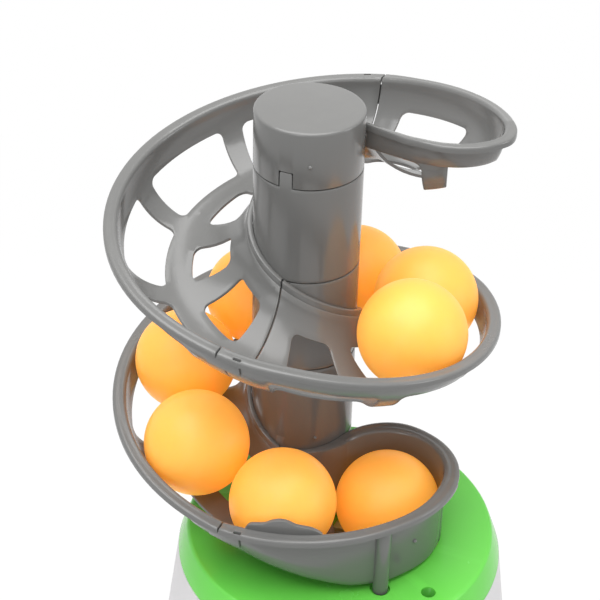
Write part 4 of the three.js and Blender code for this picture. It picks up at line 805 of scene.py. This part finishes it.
def makeSegments():
    trunk = makeTroughHalf()
    top = track["firstSeam"]
    tongue = makeTongue(180, lambda angle: top + track["rimOverSeam"] - perDegree * angle)
    joint = track["jointAngle"]
    key = column["keyAngle"] + joint
    post = columnWall("columnPost", top - track["seamStep"], top, key, key + 180)
    first = together("trackHalfTurn1", [trunk, tongue, post])
    halves = [first]
    for i in (1, 2):
        activate(first)
        bpy.ops.object.duplicate()
        half = bpy.context.object
        half.name = f"trackHalfTurn{i + 1}"
        turnRound(half, 180 * i, i * track["seamStep"])
        halves.append(half)
    for half in halves[:2]:
        liftRim(half)
    mark = mouldMark(column["markAngle"], column["radius"], top - 2 * track["seamStep"] - column["markDrop"])
    halves[2] = together("trackHalfTurn3", [halves[2], mark])
    for i, half in enumerate(halves):
        finishPiece(half, "frame", "greyShell", "grey_plastic", f"track_segment_{i + 1}")


def finishPiece(piece, body, finish, slot, *nodes):
    wear(piece, finish)
    settle(piece)
    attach(piece, body)
    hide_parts(*nodes)


makeSegments()
print("half turns of the track made")


# the scoop on top
scoop = {
    "sweep": 61.4,
    "endDistance": 50.1,  # of the end's own middle from the column's
    "outerWindow": (-40.5, -9.4),
    "innerWindow": (-50, -14),
    "windowTop": -33,
    "openFloor": ((-75, -44), (-44, -106)),  # the floor's end is left out under the low wall
    "rimIn": 1.2,  # how much narrower the flange is past the joint
    "wallDepth": (15.0, 11.0),  # of the low wall where it leaves the track and further on
    "endWall": [(0, 18.3), (18, 18.5), (32, 18.6), (43, 18.0), (59, 16.8), (81, 15.6), (103, 15.3),
                (132, 16.4), (150, 18.9), (163, 21.7), (174, 25.8), (184, 31.6)],
    "endFlange": [(0, 4.0), (15, 4.6), (36, 4.6), (48, 4.1), (67, 4.0), (84, 3.8), (102, 3.4),
                  (126, 2.9), (150, 2.6), (174, 2.2), (184, 2.0)],
    "legTurn": 119.5,
    "legWidth": 8.8,
    "legDepth": 22.4,
    "legFillet": 3.2,
    "legRise": 2.4,  # how much higher its foot ends on one side
    "markTurn": 205,
    "markRise": 9.2,
}


def makeTopPost(seam, keyAngle):
    # the column's closed end with the notch for the key below
    c = column
    post = rod(c["radius"], seam + c["seamGap"], seam + c["topHeight"], 144, columnCentre)
    editAll()
    bpy.ops.mesh.select_all(action="DESELECT")
    bpy.ops.object.mode_set(mode="OBJECT")
    crest = (seam + c["topHeight"]) * mm
    for edge in post.data.edges:
        edge.select = all(abs(post.data.vertices[i].co.z - crest) < 1e-6 for i in edge.vertices)
    bpy.ops.object.mode_set(mode="EDIT")
    bpy.ops.mesh.select_mode(type="EDGE")
    bpy.ops.mesh.bevel(offset=c["topEdge"] * mm, segments=5, affect="EDGES")
    bpy.ops.object.mode_set(mode="OBJECT")
    half = c["keyWidth"] / 2 + c["notchGap"]
    notch = brick((c["radius"] - 3, -half, -5), (c["radius"] + 3, half, c["keyHeight"] + c["notchGap"]))
    notch.data.transform(Matrix.Translation((columnCentre + Vector((0, 0, seam))) * mm)
                         @ Matrix.Rotation(degrees(keyAngle), 4, "Z"))
    cutWith(post, notch)
    roundEdges(post, c["edge"], 2, 50)
    smooth(post)
    return post


def makeScoop():
    s, t, c = scoop, trough, column
    top = track["firstSeam"]
    joint = track["jointAngle"]
    rimTop = top + track["rimOverSeam"]
    rimAt = lambda angle: rimTop - perDegree * angle
    rimEnd = rimAt(-s["sweep"])
    across = between(-s["sweep"] * alongFlat, 0, track["step"] * alongFlat)
    windows = trackWindows([s["outerWindow"]], [s["innerWindow"]], (track["outerBand"][0], s["windowTop"]))
    (start, end), (upper, lower) = s["openFloor"]
    windows.append(((start * alongFlat, runAt(upper)), (end * alongFlat, runAt(lower)), 2.5, 1.0))
    shell = flatWall("scoopShell", across, plainRun, t["thickness"], windows, open=(True, False))
    narrowed = lambda angle: troughSection(spread=1 - s["rimIn"] / t["flange"] * easeBetween(-angle, 0, 14))
    bendTo(shell, t["thickness"], roundColumn(rimAt, remembered(narrowed), (None, 0)))
    # the rim runs on round the end and back to the column in a low wall
    centre = columnCentre + polar(s["endDistance"], joint - s["sweep"])
    wallRadius = s["endWall"][0][1]
    depth = -t["floor"] - t["rimOverBall"]
    endSection = troughSection(wall=wallRadius, ridge=-wallRadius, outerCorner=(wallRadius, depth))
    perTurn = wallRadius * math.pi / 180
    lows = [runAt(-math.degrees(math.asin((d - t["rimOverBall"]) / depth)), endSection, 0)
            for d in s["wallDepth"]]
    fixed = plainRun[len(t["flangeLine"])]
    runs = [r for r in plainRun if r < lows[0] - 0.5] + [lows[0]]

    def endPlace(x, y, depthShare):
        turn = x / perTurn
        low = lows[0] + (lows[1] - lows[0]) * easeBetween(turn, 0, 40)
        y = y if y < fixed else fixed + (y - fixed) * (low - fixed) / (lows[0] - fixed)
        radius, height = acrossAt(endSection, plainRun, y, depthShare)
        past = radius - wallRadius
        if past > 0 and y < fixed:
            past *= curveThrough(s["endFlange"], turn) / t["flange"]
        radius = curveThrough(s["endWall"], turn) + past
        return centre + polar(radius, joint - s["sweep"] - turn) + Vector((0, 0, rimEnd + height))

    rim = flatWall("scoopRim", between(0, s["endWall"][-1][0] * perTurn, 3 * perTurn), runs, t["thickness"],
                   open=(True, False))
    bendTo(rim, t["thickness"], endPlace)
    # one leg of the end's floor is left, with a round corner where it leaves the low wall
    half = s["legWidth"] / 2
    legTop = s["wallDepth"][1] - 1.2
    window = ((-half - 20, s["wallDepth"][1] - 0.4), (-half, s["legDepth"] + 9), s["legFillet"], 1.0)
    leg = flatWall("scoopLeg", between(-half - 5, half, 1.5), between(legTop, s["legDepth"], 1.5),
                   t["thickness"], [window])

    def legPlace(x, y, depthShare):
        wallFoot = s["wallDepth"][1]
        inward = wallRadius * (1 - math.sqrt(1 - ((min(y, wallFoot) - t["rimOverBall"]) / depth) ** 2))
        down = max(0, y - wallFoot) / (s["legDepth"] - wallFoot)
        reach = curveThrough(s["endWall"], s["legTurn"]) - 2
        turn = s["legTurn"] - math.degrees(x / reach)
        radius = (curveThrough(s["endWall"], turn) - inward - 0.08 - 2.4 * down ** 2
                  + t["thickness"] * depthShare)
        rise = s["legRise"] * down * (x / half + 1) / 2
        return centre + polar(radius, joint - s["sweep"] - turn) + Vector((0, 0, rimEnd - y + rise))

    bendTo(leg, t["thickness"], legPlace)
    post = makeTopPost(top, joint + c["keyAngle"])
    mark = mouldMark(joint + s["markTurn"], c["radius"], top + s["markRise"])
    tongue = makeTongue(0, rimAt)
    whole = together("topScoopShell", [shell, rim, leg, post, mark, tongue])
    finishPiece(whole, "frame", "greyShell", "grey_plastic", "top_scoop")


makeScoop()
print("scoop made")


# the bowl
bowl = {
    "wellRadius": 20.5,
    "wellAngle": 72.4,
    "wellSpace": 4.6,  # between the column and the well
    "blendRadius": 39.8,
    "flange": [(0, 5.2), (38, 5.2), (54, 4.8), (62, 5.1), (69, 5.7), (80, 6.6), (90, 6.6)],
    "farFlange": [(20, 6.3), (40, 6.0), (90, 5.4), (120, 6.2), (150, 5.6), (180, 4.9), (190, 4.7)],
    "corner": 3.0,
    "capTop": 220.0,
    "ribAngle": 49.8,
    "ribRadius": 3.0,
    "guardAngle": 18.8,
    "guardSpan": 23.5,
    "guardHeight": 6.3,
    "guardThickness": 1.6,
    "mark": (62, 15.5, 0.9),  # along the wall, under the rim, radius
    "guardLine": [(-1, 0), (-0.9, 0.34), (-0.74, 0.47), (-0.5, 0.6), (-0.3, 0.86), (-0.08, 1.0), (0.12, 0.92),
                  (0.3, 0.7), (0.5, 0.58), (0.72, 0.44), (0.9, 0.2), (1, 0)],
}


def makeBowl():
    b, t, c = bowl, trough, column
    lastSeam = track["firstSeam"] - 3 * track["seamStep"]
    joint = track["jointAngle"] + 3 * 180
    rim = lastSeam + track["rimOverSeam"]
    floorPlane = b["capTop"] + 0.35
    wellDistance = c["radius"] + b["wellRadius"] + b["wellSpace"]
    blendCentre = t["wall"] - b["blendRadius"]
    inside = b["blendRadius"] - b["wellRadius"]
    cosine = (blendCentre ** 2 + wellDistance ** 2 - inside ** 2) / (2 * blendCentre * wellDistance)
    blendStart = b["wellAngle"] - math.degrees(math.acos(cosine))
    # where the wall's wide bend runs into the well's circle
    bend, middle = polar(blendCentre, blendStart), polar(wellDistance, b["wellAngle"])
    onward = (middle - bend).normalized()
    meeting = middle + onward * b["wellRadius"]
    meetAngle = math.degrees(math.atan2(meeting.y, meeting.x))
    meetTurn = math.degrees(math.atan2(onward.y, onward.x)) - b["wellAngle"]
    lowestFloor = floorPlane + t["thickness"] - rim

    def wallRadiusAt(angle):
        turn = degrees(max(0, angle - blendStart))
        along = blendCentre * math.cos(turn)
        return along + math.sqrt(b["blendRadius"] ** 2 - (blendCentre * math.sin(turn)) ** 2)

    depth = -t["floor"] - t["rimOverBall"]

    def sectionAt(angle):
        wall = wallRadiusAt(angle)
        outerShare = min(max((angle - 5) / 47, 0), 1)
        innerShare = min(max((angle - 18) / 48, 0), 1)
        ridge = t["ridge"] + (wellDistance - b["wellRadius"] - t["ridge"]) * innerShare
        floor = max(lowestFloor, t["floor"] - perDegree * angle)
        corner = b["corner"] * (1 - 0.9 * easeBetween(angle, 56, 74))
        mix = lambda a, share: a + (corner - a) * share
        return troughSection(
            wall, ridge, floor,
            (mix(wall - t["pathRadius"], outerShare), mix(depth, outerShare)),
            (mix(t["pathRadius"] - ridge, innerShare), mix(depth, innerShare)),
            t["ridgeDrop"] * (1 - easeBetween(angle, 20, 66)) + 0.2 * easeBetween(angle, 70, 76),
            ridge - c["radius"] - 0.1,
            curveThrough(b["flange"], angle) / t["flange"],
        )

    across = between(0, (meetAngle + 0.5) * alongFlat, 2.4 * alongFlat)
    shell = flatWall("bowlShell", across, plainRun, t["thickness"], [slotWindow(0)], open=(False, True))
    bendTo(shell, t["thickness"], roundColumn(lambda angle: rim, remembered(sectionAt), (0, None)))
    turnRound(shell, 3 * 180)
    # the far half of the well: flange and upright wall round its own middle
    wellCentre = columnCentre + polar(wellDistance, joint + b["wellAngle"])
    bottom = floorPlane - rim
    thick = t["thickness"]
    ring = []
    for reach, rise in t["flangeLine"]:
        under = b["wellRadius"] + thick + reach * (t["flange"] - thick) / t["flange"]
        ring.append(((b["wellRadius"] + reach, rise), (under, -t["flangeHeight"])))
    for share in (0.33, 0.66, 1.0):
        height = bottom * share
        ring.append(((b["wellRadius"], height),
                     (b["wellRadius"] + thick, min(height, -t["flangeHeight"] - 1))))
    ringRun = runLength(ring)
    perTurn = b["wellRadius"] * math.pi / 180
    far = flatWall("bowlFar", between((meetTurn - 3) * perTurn, 182 * perTurn, 4 * perTurn), ringRun, thick,
                   open=(True, True))

    def farPlace(x, y, depthShare):
        radius, height = acrossAt(ring, ringRun, y, depthShare)
        turn = x / perTurn
        past = max(0, radius - b["wellRadius"] - thick * depthShare)
        radius += past * (curveThrough(b["farFlange"], turn) / t["flange"] - 1)
        return wellCentre + polar(radius, joint + b["wellAngle"] + turn) + Vector((0, 0, rim + height))

    bendTo(far, thick, farPlace)
    # the well opens through the floor
    cutWith(shell, rod(b["wellRadius"] + 0.02, b["capTop"] - 30, b["capTop"] + 30, 96, wellCentre))
    smooth(shell)
    stub = columnWall("columnFoot", floorPlane, lastSeam, c["keyAngle"] + joint - 540, None)
    # a round rib down the front and the scalloped guard on the rim
    rib = rod(b["ribRadius"], floorPlane - b["ribRadius"] / 2, rim - t["flangeHeight"] / 2, 40,
              columnCentre + polar(t["wall"] + thick, joint + b["ribAngle"]))
    roundEdges(rib, 1.0, 4, 60)
    cutWith(rib, rod(t["wall"] + thick / 2, b["capTop"] - 40, b["capTop"] + 40, 160, columnCentre))
    smooth(rib)
    guard = makeGuard(joint, rim)
    turn, drop, size = b["mark"]
    mark = mouldMark(joint + turn, wallRadiusAt(turn) + thick, rim - drop, size)
    whole = together("trackBowlShell", [shell, far, stub, rib, guard, mark])
    finishPiece(whole, "frame", "greyShell", "grey_plastic", "track_bowl")


def makeGuard(joint, rim):
    b, t = bowl, trough
    steps = 44
    emptySelection()
    bpy.ops.mesh.primitive_grid_add(x_subdivisions=steps, y_subdivisions=3, size=2)
    guard = bpy.context.object
    radius = t["wall"] + 0.3
    for point in guard.data.vertices:
        share = point.co.x
        height = max(0, curveThrough(b["guardLine"], share))
        rise = (point.co.y + 1) / 2
        level = -1.2 + (height * b["guardHeight"] + 1.2) * rise
        angle = joint + b["guardAngle"] + b["guardSpan"] / 2 * share
        point.co = (Vector((*track["columnPlace"], rim + level)) + polar(radius, angle)) * mm
    faceOutward(guard)
    grow = guard.modifiers.new("grow", "SOLIDIFY")
    grow.thickness = b["guardThickness"] * mm
    grow.offset = 0
    applyAll(guard)
    roundEdges(guard, 0.4, 3, 50)
    faceOutward(guard)
    smooth(guard)
    return guard


makeBowl()
print("bowl made")


# the balls
ballForm = {"radius": 20.0, "count": 8}


def makeBalls():
    for i in range(1, ballForm["count"] + 1):
        low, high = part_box(f"ball_{i}")
        centre = (low + high) / 2
        emptySelection()
        bpy.ops.mesh.primitive_ico_sphere_add(subdivisions=5, radius=ballForm["radius"] * mm, location=centre)
        ball = bpy.context.object
        ball.name = f"ball{i}"
        activate(ball)
        bpy.ops.object.shade_smooth()
        finishPiece(ball, f"waiting_ball_{i}", "ballSkinPaintedGlow", "ball_plastic", f"ball_{i}")


makeBalls()
print("balls made")


# turned pieces of the body
def turnedPiece(name, profile, centre=(0, 0), steps=160, axis="Z"):
    # a ring of points is moved onto the profile and spun round the axis, all in millimetres
    emptySelection()
    bpy.ops.mesh.primitive_circle_add(vertices=len(profile), radius=1, fill_type="NOTHING")
    piece = bpy.context.object
    for point, (radius, height) in zip(piece.data.vertices, profile):
        point.co = Vector((radius, 0, height)) * mm
    spin = piece.modifiers.new("spin", "SCREW")
    spin.angle = 2 * math.pi
    spin.steps = steps
    spin.render_steps = steps
    spin.use_merge_vertices = True
    spin.merge_threshold = 0.000001
    applyAll(piece)
    faceOutward(piece)
    piece.location = (centre[0] * mm, centre[1] * mm, 0)
    settle(piece)
    piece.name = name
    return piece


body = {
    "capTop": 220.0,
    "capFlat": 58.0,
    "capEdge": [(0.5, 0.02), (1.0, 0.15), (1.45, 0.45), (1.75, 0.9), (1.98, 1.6), (2.55, 3.0)],  # out, down
    "capSeam": 209.0,
    "capSeamRadius": 63.3,
    "capWall": 2.5,
    "wellGap": 0.85,
    "screwPlace": (7.5, -49.8),
    "screwRadius": 2.75,
    "baseRadius": 92.0,
    "shellFoot": 4.3,
    "wall": 2.5,
    "shellLevels": 22,
    "nozzleHeight": 100.0,
    "boreRadius": 28.05,
    "bossRadius": 31.0,
    "bossFront": 88.0,
    "panelPlace": 45.0,
    "panelFrame": (66.6, 33.6, 8.3),  # wide, high, corner
    "panelOpening": (60.4, 27.4, 5.2),
    "ledge": (59.0, 67.2, 173.25, 176.25),  # radii and heights
    "ledgeCut": 55.35,
    "screwBosses": (82.5, (20, 160, 200, 340), 4.5, 1.6, 10.05, 28.05),
    "nozzle": [(24, 74), (27.9, 74), (27.9, 88.35), (31.6, 88.35), (32, 88.75), (32, 91.4), (31.7, 91.85),
               (28.6, 92.4), (28.1, 93), (27.9, 102.9), (27.6, 103.35), (27.2, 103.6), (26.4, 103.6),
               (26.05, 103.3), (25.9, 102.6)],
}


def makeCap():
    b = body
    profile = [
        (0, b["capTop"]), (b["capFlat"], b["capTop"]),
        *[(b["capFlat"] + out, b["capTop"] - down) for out, down in b["capEdge"]],
        (b["capSeamRadius"] - 0.12, b["capSeam"] + 0.7), (b["capSeamRadius"] - 0.5, b["capSeam"] + 0.35),
        (b["capSeamRadius"] - 2.85, b["capSeam"] + 0.35), (b["capSeamRadius"] - 2.85, b["capSeam"] - 4),
        (b["capSeamRadius"] - 4.15, b["capSeam"] - 4), (b["capSeamRadius"] - 4.15, b["capTop"] - 5.5),
        (b["capFlat"], b["capTop"] - b["capWall"]), (0, b["capTop"] - b["capWall"]),
    ]
    cap = turnedPiece("topCapShell", profile)
    c = column
    wellDistance = c["radius"] + bowl["wellRadius"] + bowl["wellSpace"]
    joint = track["jointAngle"] + 540
    well = columnCentre + polar(wellDistance, joint + bowl["wellAngle"])
    rib = columnCentre + polar(trough["wall"] + trough["thickness"], joint + bowl["ribAngle"])
    hole = bowl["wellRadius"] + b["wellGap"]
    cuts = [(well, hole, 15, 96), (b["screwPlace"], b["screwRadius"], 15, 48)]  # place, radius, reach, sides
    cuts += [((x, track["columnPlace"][1]), 1.6, 15, 24) for x in (-10, 10)]
    cuts.append((rib, bowl["ribRadius"] + 0.7, 1.5, 40))  # notch round the foot of the bowl's rib
    for place, radius, reach, sides in cuts:
        cutWith(cap, rod(radius, b["capTop"] - reach, b["capTop"] + reach, sides, place))
    roundEdges(cap, 0.45, 3, 50)
    smooth(cap)
    # the screw's well hangs from the plate
    x, y = b["screwPlace"]
    wall = turnedPiece("screwWell", [
        (b["screwRadius"], b["capTop"] - 0.6), (b["screwRadius"] + 2, b["capTop"] - 0.6),
        (b["screwRadius"] + 2, b["capSeam"] + 0.4), (1.6, b["capSeam"] + 0.4), (1.6, b["capSeam"] + 4),
        (b["screwRadius"], b["capSeam"] + 4),
    ], (x, y), 40)
    smooth(wall)
    collar = turnedPiece("wellCollar", [
        (hole, b["capTop"] - 0.8), (hole + 2, b["capTop"] - 0.8),
        (hole + 2, b["capTop"] - 6), (hole, b["capTop"] - 6),
    ], (well.x, well.y), 96)
    smooth(collar)
    finishPiece(together("topCapShell", [cap, wall, collar]), "frame", "greenShell", "green_plastic",
                "top_cap")


def faceForward(piece, height):
    # what was made along z looks out of the robot's front at a height
    piece.data.transform(Matrix.Translation((0, 0, height * mm)) @ Matrix.Rotation(degrees(90), 4, "X"))
    return piece


def frontBlock(size, low, high):
    wide, tall, corner = size
    return faceForward(roundedBrick((-wide / 2, -tall / 2, low), (wide / 2, tall / 2, high), corner),
                       body["panelPlace"])


def makeHousing():
    b = body
    levels = between(0, 1, 1 / b["shellLevels"])
    high, low = b["capSeam"], b["shellFoot"]

    def slope(inset, start=0.0, end=1.0):
        foot, head = b["baseRadius"] - inset, b["capSeamRadius"] - inset
        return [(foot + (head - foot) * s, low + (high - low) * s) for s in levels if start <= s <= end]

    outside = slope(0)
    foot, head = outside[0][0], outside[-1][0]
    outside[0:1] = [(foot - 0.75, low), (foot - 0.25, low + 0.2), (foot - 0.05, low + 0.75)]
    outside[-1:] = [(head + 0.05, high - 0.6), (head - 0.15, high - 0.15), (head - 0.55, high)]
    shell = turnedPiece("housingShell", outside + slope(b["wall"])[::-1])
    cutWith(shell, faceForward(rod(b["boreRadius"] + 1, 40, 110, 96), b["nozzleHeight"]))
    wide, tall, corner = b["panelOpening"]
    cutWith(shell, frontBlock((wide + 2, tall + 2, corner + 1), 40, 110))
    smooth(shell)
    # the boss round the nozzle and the frame round the panel end inside the wall
    r, front = b["boreRadius"], b["bossFront"]
    boss = faceForward(turnedPiece("nozzleBoss", [
        (r, 55), (b["bossRadius"], 55), (b["bossRadius"], front - 0.8),
        (b["bossRadius"] - 0.25, front - 0.25), (b["bossRadius"] - 0.8, front),
        (r + 0.5, front), (r + 0.12, front - 0.12), (r, front - 0.5),
    ], steps=96), b["nozzleHeight"])
    frame = frontBlock(b["panelFrame"], 55, front)
    cutWith(frame, frontBlock(b["panelOpening"], 40, 110))
    roundEdges(frame, 0.5, 3, 50)
    parts = [shell]
    for piece in (boss, frame):
        core = turnedPiece("housingCore", [(0, 0), (b["baseRadius"] + 0.3, 0), *slope(b["wall"] / 2),
                                           (0, high)])
        cutWith(piece, core)
        smooth(piece)
        parts.append(piece)
    # inside: a ledge over the feeder's floor and the bosses for the base's screws
    inner, outer, bottom, top = b["ledge"]
    ledge = turnedPiece("housingLedge", [(inner, bottom), (outer, bottom), (outer, top), (inner, top)],
                        steps=120)
    (rotorLow, rotorHigh), (pinionLow, pinionHigh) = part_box("feed_ring_gear"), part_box("feed_pinion")
    reach = (pinionHigh.x - pinionLow.x) / 2 / mm + 1.6
    for corners, radius, sides in ((rotorLow + rotorHigh, b["ledgeCut"], 120),
                                   (pinionLow + pinionHigh, reach, 48)):
        cutWith(ledge, rod(radius, 150, 200, sides, corners / 2 / mm))
    smooth(ledge)
    parts.append(ledge)
    place, angles, radius, hole, bottom, top = b["screwBosses"]
    for angle in angles:
        at = polar(place, angle)
        tube = turnedPiece("screwBoss", [(hole, bottom), (radius, bottom), (radius, top), (hole, top)],
                           (at.x, at.y), 40)
        smooth(tube)
        parts.append(tube)
    finishPiece(together("mainHousingShell", parts), "frame", "whiteShell", "white_plastic", "main_housing")


def makeNozzle():
    nozzle = faceForward(turnedPiece("outletNozzleShell", body["nozzle"], steps=120), body["nozzleHeight"])
    smooth(nozzle)
    finishPiece(nozzle, "frame", "greenShell", "green_plastic", "outlet_nozzle")


makeCap()
makeHousing()
makeNozzle()
print("cap, housing and nozzle made")

nodeFinishes = {
    "greyShell": ["top_scoop", "track_segment_1", "track_segment_2", "track_segment_3", "track_bowl"],
    "greenShell": ["top_cap", "outlet_nozzle", "speed_knob", "power_slider"],
    "whiteShell": ["main_housing", "feed_rotor", "feed_ring_gear", "throw_wheel_hub"],
    "blackShell": ["base_tray", "inner_frame", "feeder_floor", "drop_chute", "feed_gearbox", "channel_lower",
                   "channel_upper", "control_panel", "switch_body", "battery_door"],
    "ballSkinPaintedGlow": [f"ball_{i}" for i in range(1, 9)],
    "softRubber": ["rubber_foot_1", "rubber_foot_2", "rubber_foot_3", "rubber_foot_4", "throw_wheel_tyre"],
    "brightSteel": ["rotor_shaft", "feed_motor", "motor_shaft", "throw_motor", "speed_control", "cap_screw",
                    "column_screw_1", "column_screw_2", "base_screw_1", "base_screw_2", "base_screw_3",
                    "base_screw_4"],
    "softBrass": ["feed_pinion", *[f"battery_contact_{i}" for i in range(1, 6)]],
    "boardLacquer": ["circuit_board"],
    "cellFoil": [f"battery_cell_{i}" for i in range(1, 5)],
}
for finish, names in nodeFinishes.items():
    for name in names:
        wear(frame["nodes"][name], finish)
print("kept pieces have their finish")
